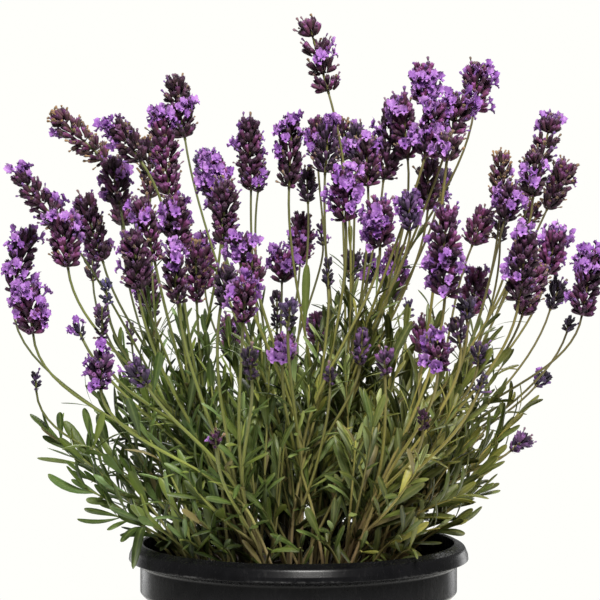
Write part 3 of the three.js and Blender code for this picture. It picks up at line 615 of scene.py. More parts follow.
def to_photo(points):
    """The pixels of the photograph, across and down, at which points are seen."""
    sine = math.sin(CAMERA_PITCH)
    cosine = math.cos(CAMERA_PITCH)
    ahead = points[:, 1] + CAMERA_DISTANCE
    above = points[:, 2] - CAMERA_HEIGHT
    reach = ahead * cosine - above * sine
    across = PHOTO_MIDDLE + PHOTO_FOCAL * (points[:, 0] - CAMERA_X) / reach
    return across, PHOTO_MIDDLE - PHOTO_FOCAL * (ahead * sine + above * cosine) / reach


def read_head(reading):
    """One flower head in space. Its tip leans towards the outside of the bush."""
    foot_x, foot_y, tip_x, tip_y, depth, half_width, flowers, withered, pitch = reading
    foot = from_photo(foot_x, foot_y, depth)
    straight_tip = from_photo(tip_x, tip_y, depth)
    lean = OUTWARD_LEAN * depth * (straight_tip[2] - foot[2]) / (foot[2] - APEX[2])
    tip = from_photo(tip_x, tip_y, depth + lean)
    radius = half_width * (depth + CAMERA_DISTANCE) / PHOTO_FOCAL
    return SimpleNamespace(
        foot=foot, tip=tip, radius=radius, flowers=flowers, withered=withered, pitch=pitch
    )


def head_axis(head):
    return unit(head.tip - head.foot)


def head_direction(head):
    """The direction from the apex to the middle of a head."""
    return unit((head.foot + head.tip) * 0.5 - APEX)


def nearest_direction(directions, direction):
    return int(np.argmax(directions @ direction))


def shoot_directions(heads):
    """Shares the heads out among the shoots: each shoot serves the heads nearest its own direction."""
    turns = np.arange(SHOOTS) * math.pi * (3 - math.sqrt(5))
    tilts = FIRST_SPREAD * np.sqrt((np.arange(SHOOTS) + 0.5) / SHOOTS)
    directions = np.stack(
        [np.sin(tilts) * np.cos(turns), np.sin(tilts) * np.sin(turns), np.cos(tilts)], axis=1
    )
    for _ in range(CLUSTER_ROUNDS):
        sums = directions * 0.5
        for head in heads:
            direction = head_direction(head)
            sums[nearest_direction(directions, direction)] += direction
        directions = sums / np.linalg.norm(sums, axis=1)[:, None]
    return directions


def cone_borders(directions, index):
    """The flat borders between a shoot's cone of directions and its neighbours', as inward normals."""
    others = np.delete(directions, index, axis=0)
    normals = directions[index] - others
    return normals / np.linalg.norm(normals, axis=1)[:, None]


def inside_cone(borders, point, radius):
    """How far inside its shoot's cone a ball of the given radius lies: negative when it sticks out."""
    return float(np.min(borders @ (point - APEX))) - radius - GAP_BETWEEN / 2


def shortest_steps(a0, a1, b0, b1):
    """The shortest steps from segments b0-b1 to segments a0-a1."""
    u = a1 - a0
    v = b1 - b0
    w = a0 - b0
    uu = np.maximum((u * u).sum(-1), 1e-9)
    vv = np.maximum((v * v).sum(-1), 1e-9)
    uv = (u * v).sum(-1)
    uw = (u * w).sum(-1)
    vw = (v * w).sum(-1)
    spread = uu * vv - uv * uv
    apart = spread > 1e-9
    s = np.where(apart, np.clip((uv * vw - vv * uw) / np.where(apart, spread, 1.0), 0, 1), 0.0)
    t = np.clip((uv * s + vw) / vv, 0, 1)
    s = np.clip((uv * t - uw) / uu, 0, 1)
    return w + u * s[..., None] - v * t[..., None]


def soil_reach(direction):
    """The distance from the apex at which a direction leaves the soil."""
    return (SOIL_TOP - APEX[2]) / direction[2]


def stalk_curve(head, direction, borders):
    """A stalk leaves its shoot's leader at a fork and bends into the line of its head."""
    start = soil_reach(direction)
    foot_reach = np.linalg.norm(head.foot - APEX)
    fork = APEX + direction * (start + (foot_reach - start) * head.fork_share)
    length = np.linalg.norm(head.foot - fork)
    axis = head_axis(head)
    handle = length * LAST_HANDLE
    last = head.foot - axis * handle
    while handle > 2 and inside_cone(borders, last, STALK_ROOT_RADIUS) < 0:
        handle *= 0.7
        last = head.foot - axis * handle
    first = fork + direction * (length * FIRST_HANDLE)
    return [fork, first, last, head.foot]


def depth_pushes(directions, amounts):
    """Pushes along directions that move heads in depth rather than across the picture."""
    weighted = directions * np.array([PUSH_SIDEWAYS, 1.0, PUSH_SIDEWAYS])
    along = (weighted * directions).sum(-1)
    return weighted * (amounts / np.maximum(along, 0.05))[..., None]


def pushes_into_cone(shoot, ends, radii):
    """Pushes on one end of each head, away from the cone's borders."""
    room = (ends - APEX) @ shoot.borders.T - radii[:, None] - GAP_BETWEEN / 2
    borders = np.broadcast_to(shoot.borders, (len(ends), *shoot.borders.shape))
    return depth_pushes(borders, np.maximum(-room, 0)).sum(axis=1)


def pushes_apart(feet, tips, paths, radii):
    """Pushes between each head and the other heads and their stalks, shared out among the two."""
    count = len(feet)
    order = np.arange(count)
    other_radii = np.full((count, SETTLE_SPANS + 1), STALK_ROOT_RADIUS)
    other_radii[:, 0] = radii
    shares = np.full(SETTLE_SPANS + 1, 0.8)[:, None]
    shares[0] = 0.5
    starts = np.concatenate([feet[:, None], paths[:, :-1]], axis=1)
    ends = np.concatenate([tips[:, None], paths[:, 1:]], axis=1)
    away = shortest_steps(feet[:, None, None], tips[:, None, None], starts[None], ends[None])
    distance = np.linalg.norm(away, axis=-1)
    room = distance - radii[:, None, None] - other_radii[None] - GAP_BETWEEN
    room[order, order] = 1.0
    crossing = (distance < 0.5)[..., None]
    sideways = np.where(order[:, None] < order[None], 1.0, -1.0)[..., None]
    away = np.where(crossing, np.stack([sideways * 0, sideways, sideways * 0], -1), away)
    away = away / np.maximum(np.linalg.norm(away, axis=-1), 1e-12)[..., None]
    push = depth_pushes(away, np.maximum(-room, 0))
    return (push * shares).sum(axis=(1, 2)), (push * (shares - 1)).sum(axis=(0, 2))


def settle_shoot(shoot):
    """Moves a shoot's heads apart, out of the way of each other's stalks, and into their cone."""
    radii = np.array([head.radius for head in shoot.heads])
    for _ in range(PUSH_SWEEPS):
        feet = np.array([head.foot for head in shoot.heads])
        tips = np.array([head.tip for head in shoot.heads])
        curves = [stalk_curve(head, shoot.direction, shoot.borders) for head in shoot.heads]
        paths = np.array([bezier_points(curve, SETTLE_SPANS) for curve in curves])
        pushes = pushes_into_cone(shoot, feet, radii)
        pushes += pushes_into_cone(shoot, tips, radii)
        for push in pushes_apart(feet, tips, paths, radii):
            pushes += push
        for head, step in zip(shoot.heads, pushes):
            head.foot = head.foot + step * PUSH_STEP
            head.tip = head.tip + step * PUSH_STEP


def leader_path(shoot):
    """The leader runs straight from its root in the soil to just past its highest fork."""
    start = soil_reach(shoot.direction)
    reaches = [np.linalg.norm(head.foot - APEX) for head in shoot.heads]
    forks = [start + (r - start) * head.fork_share for r, head in zip(reaches, shoot.heads)]
    steps = np.linspace(start - ROOT_DEPTH, max(forks) + FORK_OVERRUN, 4)
    return APEX + shoot.direction * steps[:, None]


def lay_out_bush():
    """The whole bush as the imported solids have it: shoots, their cones, heads, stalks and leaders."""
    heads = [read_head(reading) for reading in HEAD_READINGS + HIDDEN_READINGS]
    for index, head in enumerate(heads):
        head.index = index
        head.fork_share = random_from(index)(FORK_LOWEST, FORK_HIGHEST)
    by_size = sorted(heads, key=lambda head: -head.radius * np.linalg.norm(head.tip - head.foot))
    for rank, head in enumerate(by_size):
        head.own_node = rank < OWN_NODES
    directions = shoot_directions(heads)
    shoots = []
    for index, direction in enumerate(directions):
        borders = cone_borders(directions, index)
        shoots.append(SimpleNamespace(index=index, direction=direction, borders=borders, heads=[]))
    for head in heads:
        shoots[nearest_direction(directions, head_direction(head))].heads.append(head)
    for shoot in shoots:
        settle_shoot(shoot)
        shoot.leader = leader_path(shoot)
        shoot.curves = [stalk_curve(head, shoot.direction, shoot.borders) for head in shoot.heads]
        shoot.paths = [bezier_points(curve, LEAF_STEM_SPANS) for curve in shoot.curves]
    return shoots


def clear_of_pot(point, radius):
    """Whether a ball lies above the soil, and above the rim where it is past the pot's inside."""
    from_axis = math.hypot(point[0], point[1]) + radius
    if from_axis > POT_RIM_RADIUS - 3 * POT_WALL:
        return point[2] - radius > POT_HEIGHT + GAP_BETWEEN
    return point[2] - radius > SOIL_TOP + SOIL_LUMP


def leaf_distances(leaf, starts, ends):
    """The shortest distances between a leaf's middle line, past its root, and segments."""
    first = leaf.root + (leaf.middle - leaf.root) * 0.35
    near = np.linalg.norm(shortest_steps(first, leaf.middle, starts, ends), axis=-1)
    far = np.linalg.norm(shortest_steps(leaf.middle, leaf.tip, starts, ends), axis=-1)
    return np.minimum(near, far)


def leaf_fits(leaf, shoot, own_path):
    """Whether a leaf stays in its shoot's cone, out of the pot, and clear of heads and stems."""
    half = leaf.width / 2
    for share in (0.25, 0.5, 0.75, 1.0):
        near = leaf.root + (leaf.middle - leaf.root) * share
        far = leaf.middle + (leaf.tip - leaf.middle) * share
        if share > 0.25 and (inside_cone(shoot.borders, near, half) < 0 or not clear_of_pot(near, 1)):
            return False
        if inside_cone(shoot.borders, far, half * (1.2 - share)) < 0 or not clear_of_pot(far, 1):
            return False
    head_room = leaf_distances(leaf, shoot.feet, shoot.tips) - shoot.radii
    if np.any(head_room <= half + GAP_BETWEEN):
        return False
    others = shoot.path_owner != own_path
    stem_room = leaf_distances(leaf, shoot.path_starts[others], shoot.path_ends[others])
    return not np.any(stem_room <= 0.6 * half + STALK_ROOT_RADIUS)


def make_leaf(site, turn, draw):
    """One leaf that grows from a stem at a site, turned round the stem by an angle."""
    outward = turned(cross_frame(site.tangent), turn)
    tilt = draw(LEAF_LEAST_TILT, LEAF_MOST_TILT)
    length = draw(LEAF_SHORTEST, LEAF_LONGEST) * site.size
    along = site.tangent * math.cos(tilt) + outward * math.sin(tilt)
    face = square_to(site.tangent, along)
    middle = site.point + along * (length * 0.5) + face * (length * 0.08)
    tip = site.point + along * length + face * (length * draw(-0.12, 0.1))
    width = LEAF_WIDTH * draw(0.8, 1.1) * site.size
    return SimpleNamespace(root=site.point, middle=middle, tip=tip, face=face, width=width)


def sites_on_path(path, owner, first, last, seed):
    """Where leaf pairs grow along one path, each pair turned square to the one below."""
    draw = random_from(seed)
    sites = []
    travelled = 0.0
    following = first
    for start, end in zip(path, path[1:]):
        stretch = end - start
        length = float(np.linalg.norm(stretch))
        tangent = stretch / length
        while following <= travelled + length and following <= last:
            pair = len(sites)
            site = SimpleNamespace(owner=owner, seed=seed + pair, tangent=tangent)
            site.point = start + tangent * (following - travelled)
            site.turn = pair * math.pi / 2 + draw(-0.4, 0.4)
            site.size = 1 - 0.35 * following / max(last, 1)
            sites.append(site)
            following += LEAF_PITCH * draw(0.85, 1.2)
        travelled += length
    return sites


def leaf_sites(shoot):
    """Where leaf pairs grow: along the leader, and along the lower part of each stalk."""
    whole = float(np.linalg.norm(shoot.leader[-1] - shoot.leader[0]))
    seed = SEED_LEADER_LEAVES + 40 * shoot.index
    sites = sites_on_path(shoot.leader, -1, ROOT_DEPTH + LEAF_FIRST_AT, whole, seed)
    for owner, (head, path) in enumerate(zip(shoot.heads, shoot.paths)):
        reach = float(np.linalg.norm(head.foot - path[0]))
        last = reach * LEAFY_SHARE - LEAF_FIRST_AT
        sites += sites_on_path(path, owner, LEAF_FIRST_AT, last, SEED_STALK_LEAVES + 40 * head.index)
    return sites


def leaf_with_room(shoot, site, half):
    """The leaf on one side of a leaf pair, swung until it has room, or None."""
    draw = random_from(site.seed * 2 + half)
    for attempt in range(LEAF_TRIES):
        swing = LEAF_SWING * math.ceil(attempt / 2) * (1 if attempt % 2 == 0 else -1)
        leaf = make_leaf(site, site.turn + half * math.pi + swing, draw)
        if leaf_fits(leaf, shoot, site.owner):
            leaf.owner = site.owner
            return leaf
    return None


def grow_leaves(shoot):
    """Every leaf that the shoot has room for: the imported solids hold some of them."""
    shoot.feet = np.array([head.foot for head in shoot.heads])
    shoot.tips = np.array([head.tip for head in shoot.heads])
    shoot.radii = np.array([head.radius for head in shoot.heads])
    shoot.path_starts = np.concatenate([path[:-1] for path in shoot.paths])
    shoot.path_ends = np.concatenate([path[1:] for path in shoot.paths])
    shoot.path_owner = np.repeat(np.arange(len(shoot.paths)), LEAF_STEM_SPANS)
    shoot.sites = leaf_sites(shoot)
    leaves = [leaf_with_room(shoot, site, half) for site in shoot.sites for half in (0, 1)]
    return [leaf for leaf in leaves if leaf]


class Surface:
    """Triangles gathered for one piece, with the values that its materials read."""

    def __init__(self):
        self.points = []
        self.faces = []
        self.values = []
        self.slots = []
        self.paths = []
        self.leaves = []
        self.count = 0

    def add(self, points, faces, tint=0.5, along=0.0, fade=0.0, slot=0):
        points = np.asarray(points, dtype=float).reshape(-1, 3)
        faces = np.asarray(faces, dtype=int).reshape(-1, 3)
        values = np.empty((len(points), len(MESH_VALUES)))
        for column, value in enumerate((tint, along, fade)):
            values[:, column] = np.asarray(value).reshape(-1)
        self.points.append(points)
        self.faces.append(faces + self.count)
        self.values.append(values)
        self.slots.append(np.full(len(faces), slot))
        self.count += len(points)

    def make(self, name, materials, node, record_slot):
        """Turns the gathered triangles into a piece that rides on the part."""
        points = np.concatenate(self.points) * MM
        faces = np.concatenate(self.faces)
        mesh = bpy.data.meshes.new(name)
        mesh.vertices.add(len(points))
        mesh.vertices.foreach_set("co", points.ravel())
        mesh.loops.add(faces.size)
        mesh.loops.foreach_set("vertex_index", faces.ravel())
        mesh.polygons.add(len(faces))
        mesh.polygons.foreach_set("loop_start", np.arange(0, faces.size, 3))
        mesh.polygons.foreach_set("material_index", np.concatenate(self.slots))
        mesh.polygons.foreach_set("use_smooth", np.ones(len(faces), dtype=bool))
        for label, value in zip(MESH_VALUES, np.concatenate(self.values).T):
            attribute = mesh.attributes.new(label, "FLOAT", "POINT")
            attribute.data.foreach_set("value", np.ascontiguousarray(value))
        for material in materials:
            mesh.materials.append(material)
        mesh.update(calc_edges=True)
        mesh.validate()
        piece = bpy.data.objects.new(name, mesh)
        bpy.context.scene.collection.objects.link(piece)
        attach(piece, "root")
        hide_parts(node)


def grid_faces(rows, columns, closed=False):
    """Triangles over a grid of points, row by row. A closed grid joins its last column to its first."""
    last = columns if closed else columns - 1
    row, column = np.meshgrid(np.arange(rows - 1), np.arange(last), indexing="ij")
    low = (row * columns + column).ravel()
    low_next = (row * columns + (column + 1) % columns).ravel()
    high = low + columns
    high_next = low_next + columns
    return np.concatenate(
        [np.stack([low, low_next, high_next], 1), np.stack([low, high_next, high], 1)]
    )


def closed_body(rings, bottom, top):
    """Points and faces of a body of rings, closed at each end by a fan around a point on the axis."""
    sides = len(rings[0])
    points = np.concatenate([*rings, [[0, 0, bottom], [0, 0, top]]])
    count = len(points) - 2
    ring = np.arange(sides)
    after = np.roll(ring, -1)
    start = np.stack([after, ring, np.full(sides, count)], 1)
    end = np.stack([ring, after, np.full(sides, count + 1)], 1)
    end[:, :2] += count - sides
    return points, np.concatenate([grid_faces(len(rings), sides, closed=True), start, end])


def flat_ring(radius, height, angles):
    """The corners of a level ring around the pot's axis."""
    return np.stack([radius * np.cos(angles), radius * np.sin(angles), np.full(len(angles), height)], 1)


def add_tube(surface, path, radii, sides, tint, along, square=0.0):
    """A tube along a path, closed at its end. A square one has every second corner drawn in."""
    path = np.asarray(path, dtype=float)
    tangents = np.gradient(path, axis=0)
    tangents /= np.linalg.norm(tangents, axis=1)[:, None]
    side = cross_frame(unit(path[-1] - path[0]))[0]
    across = side - tangents * (tangents @ side)[:, None]
    across /= np.linalg.norm(across, axis=1)[:, None]
    upright = np.cross(tangents, across)
    angles = corner_angles(sides)
    corner = 1 - square * (np.arange(sides) % 2)
    ring = across[:, None] * (np.cos(angles) * corner)[None, :, None]
    ring = ring + upright[:, None] * (np.sin(angles) * corner)[None, :, None]
    points = (path[:, None] + ring * np.asarray(radii)[:, None, None]).reshape(-1, 3)
    count = len(points)
    last = count - sides + np.arange(sides)
    cap = np.stack([last, np.roll(last, -1), np.full(sides, count)], 1)
    faces = np.concatenate([grid_faces(len(path), sides, closed=True), cap])
    along = np.append(np.repeat(along, sides), along[-1])
    surface.add(np.concatenate([points, path[-1:]]), faces, tint=tint, along=along)
    surface.paths.append(path)


def ring_template(rings, sides):
    """A unit tube of revolution: rings of (height, radius, ridge, tooth, along) from root to mouth.

    A ridge makes every second corner stand back, and a tooth makes every second corner stand up.
    """
    angles = corner_angles(sides)
    odd = np.arange(sides) % 2
    points = []
    along = []
    for height, radius, ridge, tooth, share in rings:
        reach = radius * (1 - ridge * odd)
        lift = height + tooth * (1 - 2 * odd)
        points.append(np.stack([reach * np.cos(angles), reach * np.sin(angles), lift], 1))
        along += [share] * sides
    faces = grid_faces(len(rings), sides, closed=True)
    return SimpleNamespace(points=np.concatenate(points), faces=faces, along=along)


# A calyx: a ribbed tube with small teeth, of unit length and unit width, and its hollow mouth.
CALYX_RINGS = [
    (0.0, 0.18, 0.0, 0.0, 0.0),
    (0.32, 0.4, 0.14, 0.0, 0.3),
    (0.7, 0.52, 0.18, 0.0, 0.72),
    (0.95, 0.36, 0.1, 0.06, 1.0),
    (0.8, 0.12, 0.0, 0.0, 0.7),
]
CALYX = ring_template(CALYX_RINGS, sides=8)
SMALL_CALYX = ring_template(CALYX_RINGS, sides=6)

# A spent floret: a shrivelled tube with a ragged mouth.
SPENT_RINGS = [
    (0.0, 0.16, 0.0, 0.0, 0.0),
    (0.3, 0.2, 0.3, 0.03, 0.3),
    (0.6, 0.3, 0.4, -0.05, 0.6),
    (0.85, 0.5, 0.35, 0.12, 0.85),
    (1.0, 0.36, 0.5, -0.14, 1.0),
]
SPENT = ring_template(SPENT_RINGS, sides=6)

# A bract: a small pointed scale under each whorl, of unit length and unit width.
BRACT_POINTS = np.array(
    [
        (0.0, -0.12, 0.0), (0.0, 0.12, 0.0), (0.1, -0.5, 0.35), (0.17, 0.0, 0.35), (0.1, 0.5, 0.35),
        (0.12, -0.3, 0.7), (0.18, 0.0, 0.7), (0.12, 0.3, 0.7), (0.05, 0.0, 1.0),
    ]
)
BRACT_FACES = np.array(
    [(0, 3, 2), (0, 1, 3), (1, 4, 3), (2, 3, 6), (2, 6, 5), (3, 4, 7), (3, 7, 6), (5, 6, 8), (6, 7, 8)]
)
BRACT = SimpleNamespace(points=BRACT_POINTS, faces=BRACT_FACES, along=BRACT_POINTS[:, 2])

# An open floret: a short tube that opens into two larger lobes above and three below, all of them
# ruffled. Each lobe is given by its turn in degrees, its reach, its half width and how erect it is.
FLORET_LOBES = [
    (58, 1.15, 0.74, 0.5),
    (122, 1.15, 0.74, 0.5),
    (196, 0.92, 0.54, -0.1),
    (270, 1.05, 0.58, -0.2),
    (344, 0.92, 0.54, -0.1),
]
FLORET_TUBE = [
    (-1.1, 0.15, 0.0, 0.0, 0.0),
    (-0.3, 0.17, 0.0, 0.0, 0.1),
    (0.08, 0.25, 0.0, 0.0, 0.2),
]
LOBE_ROOT = 0.17
LOBE_OUT = np.array([0.0, 0.4, 0.75, 1.0])
LOBE_HALF_WIDTH = np.array([0.34, 0.92, 1.0, 0.66])
LOBE_ACROSS = np.array([-1.0, -0.5, 0.0, 0.5, 1.0])


def floret_lobe(turn, reach, half_width, erect, rng):
    """A grid of points over one lobe, cupped, bent back at its end and ruffled along its edge."""
    angle = math.radians(turn + rng.uniform(-8, 8))
    outward = np.array([math.cos(angle), math.sin(angle), 0])
    sideways = np.array([-math.sin(angle), math.cos(angle), 0])
    out = LOBE_ROOT + (reach * rng.uniform(0.85, 1.12) - LOBE_ROOT) * LOBE_OUT
    flare = rng.uniform(-0.3, 0.3) - erect
    lobe = np.zeros((len(LOBE_OUT), len(LOBE_ACROSS), 3))
    lobe += out[:, None, None] * outward
    lobe += (half_width * LOBE_HALF_WIDTH)[:, None, None] * LOBE_ACROSS[None, :, None] * sideways
    cup = 0.34 * LOBE_ACROSS[None] ** 2 * LOBE_OUT[:, None]
    lift = 0.08 + 0.8 * LOBE_OUT - (0.5 + flare) * LOBE_OUT**2
    ruffle = rng.uniform(-0.3, 0.3, lobe.shape[:2]) * LOBE_OUT[:, None]
    lobe[:, :, 2] += lift[:, None] + cup + ruffle
    lobe -= cup[:, :, None] * outward * 0.8
    return lobe.reshape(-1, 3)


def floret_template(variant):
    """An open floret with ruffles of its own."""
    rng = np.random.default_rng(SEED_FLORETS + variant)
    tube = ring_template(FLORET_TUBE, sides=8)
    points = [tube.points]
    faces = [tube.faces]
    along = [tube.along]
    for lobe in FLORET_LOBES:
        faces.append(grid_faces(len(LOBE_OUT), len(LOBE_ACROSS)) + sum(map(len, points)))
        points.append(floret_lobe(*lobe, rng))
        along.append(np.repeat(0.3 + 0.7 * LOBE_OUT, len(LOBE_ACROSS)))
    return SimpleNamespace(
        points=np.concatenate(points), faces=np.concatenate(faces), along=np.concatenate(along)
    )


FLORETS = [floret_template(variant) for variant in range(FLORET_VARIANTS)]

# The materials of a flower head, after its stem's, which comes first. Bracts wear the calyces'.
CALYX_SLOT = 1
FLORET_SLOT = 2
SPENT_SLOT = 3


def frame_towards(axis, facing, width, depth, length):
    """Columns for a template: its X faces the given way, its Z runs along the axis."""
    axis = unit(axis)
    outward = square_to(facing, axis)
    return np.stack([outward * depth, np.cross(axis, outward) * width, axis * length], 1)


class Stamps:
    """Copies of one template that wait to be stamped onto a surface together."""

    def __init__(self, template):
        self.template = template
        self.frames = []
        self.places = []
        self.tints = []

    def put(self, frame, place, tint):
        """Sets down one copy. The columns of its frame are its scaled axes."""
        self.frames.append(frame)
        self.places.append(place)
        self.tints.append(tint)

    def stamp(self, surface, fade, slot):
        """Adds all the copies to a surface."""
        if not self.frames:
            return
        template = self.template
        count = len(self.frames)
        size = len(template.points)
        copies = np.einsum("nij,mj->nmi", np.asarray(self.frames), template.points)
        copies += np.asarray(self.places)[:, None]
        faces = template.faces[None] + np.arange(count)[:, None, None] * size
        tint = np.repeat(self.tints, size)
        along = np.tile(template.along, count)
        surface.add(copies, faces, tint=tint, along=along, fade=fade, slot=slot)


def tip_closing(share):
    """0 along most of a head, growing to 1 at its tip, where the calyces close up."""
    return max(0.0, (share - TIP_CLOSES_AT) / (1 - TIP_CLOSES_AT))


def head_fullness(share, bend):
    """How wide a head is along its length. A large bend moves its widest part towards the tip."""
    spindle = 0.5 + 0.5 * math.sin(math.pi * (0.13 + 0.72 * share**bend))
    return spindle * (1 - TIP_TAPER * tip_closing(share) ** 2)


def whorl_crowd(radius):
    """How many calyces sit in one whorl of a head with the given radius."""
    if radius > 7:
        return 15
    if radius > 5:
        return 12
    return 9 if radius > 3.5 else 6


class HeadForm:
    """The form of a flower head: its slightly bowed axis, and how full and how closely set it is."""

    def __init__(self, head, rng):
        self.foot = head.foot
        self.axis = head_axis(head)
        self.square = cross_frame(self.axis)
        self.length = float(np.linalg.norm(head.tip - head.foot))
        self.bow = scatter(self.square, rng) * HEAD_BOW * self.length
        self.whorls = max(2, round(self.length * 0.92 / head.pitch))
        self.crowd = whorl_crowd(head.radius)
        self.reach = min(head.radius * 1.22, CALYX_REACH + 0.4 * head.radius)
        self.bend = rng.uniform(0.75, 1.6)
        self.small = head.radius < SMALL_HEAD
        self.tone = rng.uniform(-0.3, 0.3) - 0.2 * self.small
        self.body = 1 - min(HEAD_CROWN / self.length, 0.13)
        self.tier_step = 0.24 * min(head.pitch, DENSE_PITCH) / self.length

    def centre(self, share):
        """The point at a share of the axis."""
        return self.foot + self.axis * (self.length * share) + self.bow * (4 * share * (1 - share))


def draw_whorl(form, number, rng):
    """Where the whorl with a given number sits, how full it is and how it is turned."""
    top = number == form.whorls
    share = min((number + 0.12 + rng.uniform(-0.12, 0.12)) / form.whorls, 0.9)
    swell = rng.uniform(0.84, 1.08)
    start = rng.uniform(0, FULL_TURN)
    members = form.crowd // 2 if top else form.crowd
    return SimpleNamespace(top=top, share=share, swell=swell, start=start, members=members)


def put_calyx(calyces, form, whorl, number, rng):
    """Sets down one calyx of a whorl. Gives the middle of its mouth and its direction."""
    turn = whorl.start + (number + rng.uniform(-0.25, 0.25)) * FULL_TURN / whorl.members
    outward = turned(form.square, turn)
    tier = number % TIERS
    lean = CALYX_MOST_LEAN - CALYX_LEAN_BY_TIER * tier - CALYX_LEAN_BY_SHARE * whorl.share
    if whorl.top:
        lean = rng.uniform(*TOP_CALYX_LEANS)
    lean += rng.uniform(-0.3, 0.3) - TIP_LIFT * tip_closing(whorl.share)
    spot = whorl.share + (tier + rng.uniform(-0.4, 0.4)) * form.tier_step
    fullness = head_fullness(min(1.0, max(spot, 0) + 0.05), form.bend)
    wanted = form.reach * fullness * whorl.swell * rng.uniform(0.8, 1.1)
    long = (wanted - 1.2) / math.sin(max(lean, 0.5))
    long = min(max(long, CALYX_SHORTEST), CALYX_LONGEST) * rng.uniform(0.8, 1.06)
    wide = min(long * CALYX_BREADTH, CALYX_WIDEST) * rng.uniform(0.78, 1.12)
    if whorl.top:
        long = rng.uniform(*TOP_CALYX_LENGTHS)
        spot = min(spot, 1 - (long * 0.8) / form.length)
    direction = form.axis * math.cos(lean) + outward * math.sin(lean)
    offset = np.clip(wanted - long * math.sin(lean), *CALYX_OFFSETS)
    place = form.centre(min(spot, 0.95) * form.body) + outward * offset
    tint = min(max(rng.uniform() + form.tone, 0), 1)
    calyces.put(frame_towards(direction, form.axis, wide, wide, long), place, tint)
    return place + direction * long * CALYX_MOUTH_AT, direction


def put_bracts(bracts, form, whorl, fullest, rng):
    """Sets down the pointed scales that sit under a whorl."""
    for number in range(BRACTS_IN_WHORL):
        outward = turned(form.square, whorl.start + 0.4 + number * FULL_TURN / BRACTS_IN_WHORL)
        size = rng.uniform(0.85, 1.15) * fullest
        width = BRACT_WIDTH * size
        frame = frame_towards(form.axis * 0.45 + outward, outward, width, width, BRACT_LENGTH * size)
        place = form.centre(whorl.share * form.body) + outward * 0.4 - form.axis * 0.5
        bracts.put(frame, place, rng.uniform())


def open_mouths(mouths, wanted, last, rng):
    """Which calyces are in flower: they open near a few chosen spots, and seldom at the very top."""
    places = np.array([place for place, _ in mouths])
    clusters = max(1, round(wanted / FLORETS_TOGETHER))
    centres = places[rng.permutation(len(places) - last)[:clusters]]
    distances = np.linalg.norm(places[:, None] - centres[None], axis=2).min(axis=1)
    distances[-last:] += FLORET_CLUSTER * 0.7
    return np.argsort(distances + rng.uniform(0, FLORET_CLUSTER, len(places)))


def add_open_florets(surface, head, form, mouths, rng):
    """The open florets, each of which faces out of its calyx and sits a little askew."""
    florets = [Stamps(template) for template in FLORETS]
    for mouth, direction in mouths:
        size = rng.uniform(*FLORET_SIZES) * min(1.0, 0.35 + head.radius / 10)
        facing = unit(direction + scatter(form.square, rng) * 0.45 + form.axis * 0.15)
        roll = unit(np.cross(form.axis, facing) + facing * 1e-3)
        frame = np.stack([roll, np.cross(facing, roll), facing], 1) * size
        place = mouth + facing * (size * 0.6 + rng.uniform(0, 1.0))
        # Florets of a head whose withered value is below nought are drawn deeper: painted shade.
        florets[rng.integers(len(florets))].put(frame, place, rng.uniform() * min(1, 1 + head.withered))
    for stamps in florets:
        stamps.stamp(surface, 0.0, FLORET_SLOT)


def add_spent_florets(surface, head, form, mouths, rng):
    """The shrivelled florets, broader on a withered head."""
    spent = Stamps(SPENT)
    for mouth, direction in mouths:
        facing = unit(direction + scatter(form.square, rng) * 0.25)
        width = rng.uniform(*SPENT_WIDTHS) * (1 + 0.3 * max(head.withered, 0))
        depth = rng.uniform(*SPENT_DEPTHS)
        frame = frame_towards(facing, form.axis, width, depth, rng.uniform(*SPENT_LENGTHS))
        spent.put(frame, mouth - facing * 0.3, rng.uniform())
    spent.stamp(surface, head.withered, SPENT_SLOT)


def add_head(surface, head):
    """A whole flower head: its axis, the whorls of calyces and bracts, and open and spent florets."""
    rng = np.random.default_rng(SEED_HEADS + head.index)
    form = HeadForm(head, rng)
    spine = [form.centre(share) for share in np.linspace(-0.02, 0.9, 12)]
    radii = np.linspace(STALK_NECK_RADIUS, HEAD_TOP_RADIUS, len(spine))
    add_tube(surface, spine, radii, STALK_SIDES, 0.5, np.full(len(spine), 0.9), HEAD_SQUARENESS)
    calyces = Stamps(CALYX if head.own_node else SMALL_CALYX)
    bracts = Stamps(BRACT)
    mouths = []
    for number in range(form.whorls + 1):
        whorl = draw_whorl(form, number, rng)
        mouths += [put_calyx(calyces, form, whorl, member, rng) for member in range(whorl.members)]
        if not whorl.top:
            put_bracts(bracts, form, whorl, min(1, head.radius / 8), rng)
    calyces.stamp(surface, head.withered - YOUTH * form.small, CALYX_SLOT)
    bracts.stamp(surface, head.withered, CALYX_SLOT)
    open_count = min(round(head.flowers * FLORETS_PER_READ), int(len(mouths) * 0.5))
    order = open_mouths(mouths, open_count, form.crowd // 2, rng)
    add_open_florets(surface, head, form, [mouths[pick] for pick in order[:open_count]], rng)
    spent_share = 0.2 + 0.5 * max(head.withered, 0)
    spent_count = round(len(mouths) * spent_share * (0.3 if head.radius < 5 else 1))
    late = rng.permutation(order[open_count:])[:spent_count]
    add_spent_florets(surface, head, form, [mouths[pick] for pick in late], rng)


# A leaf's outline: its half width at each step from root to tip, and its cross-section from edge to edge.
LEAF_STEPS = np.array([0.0, 0.08, 0.2, 0.35, 0.5, 0.65, 0.8, 0.91, 0.97, 1.0])
LEAF_HALF_WIDTH = np.array([0.18, 0.26, 0.46, 0.74, 0.94, 1.02, 0.95, 0.73, 0.46, 0.08])
LEAF_ACROSS = np.array([-1.0, -0.62, 0.0, 0.62, 1.0])
LEAF_CURL = np.array([-0.34, 0.02, -0.1, 0.02, -0.34])
COARSE_STEPS = [0, 2, 4, 6, 8, 9]
COARSE_ACROSS = [0, 2, 4]


def leaf_control(leaf):
    """The point that bends a leaf's midrib through its middle."""
    return leaf.middle * 2 - (leaf.root + leaf.tip) * 0.5


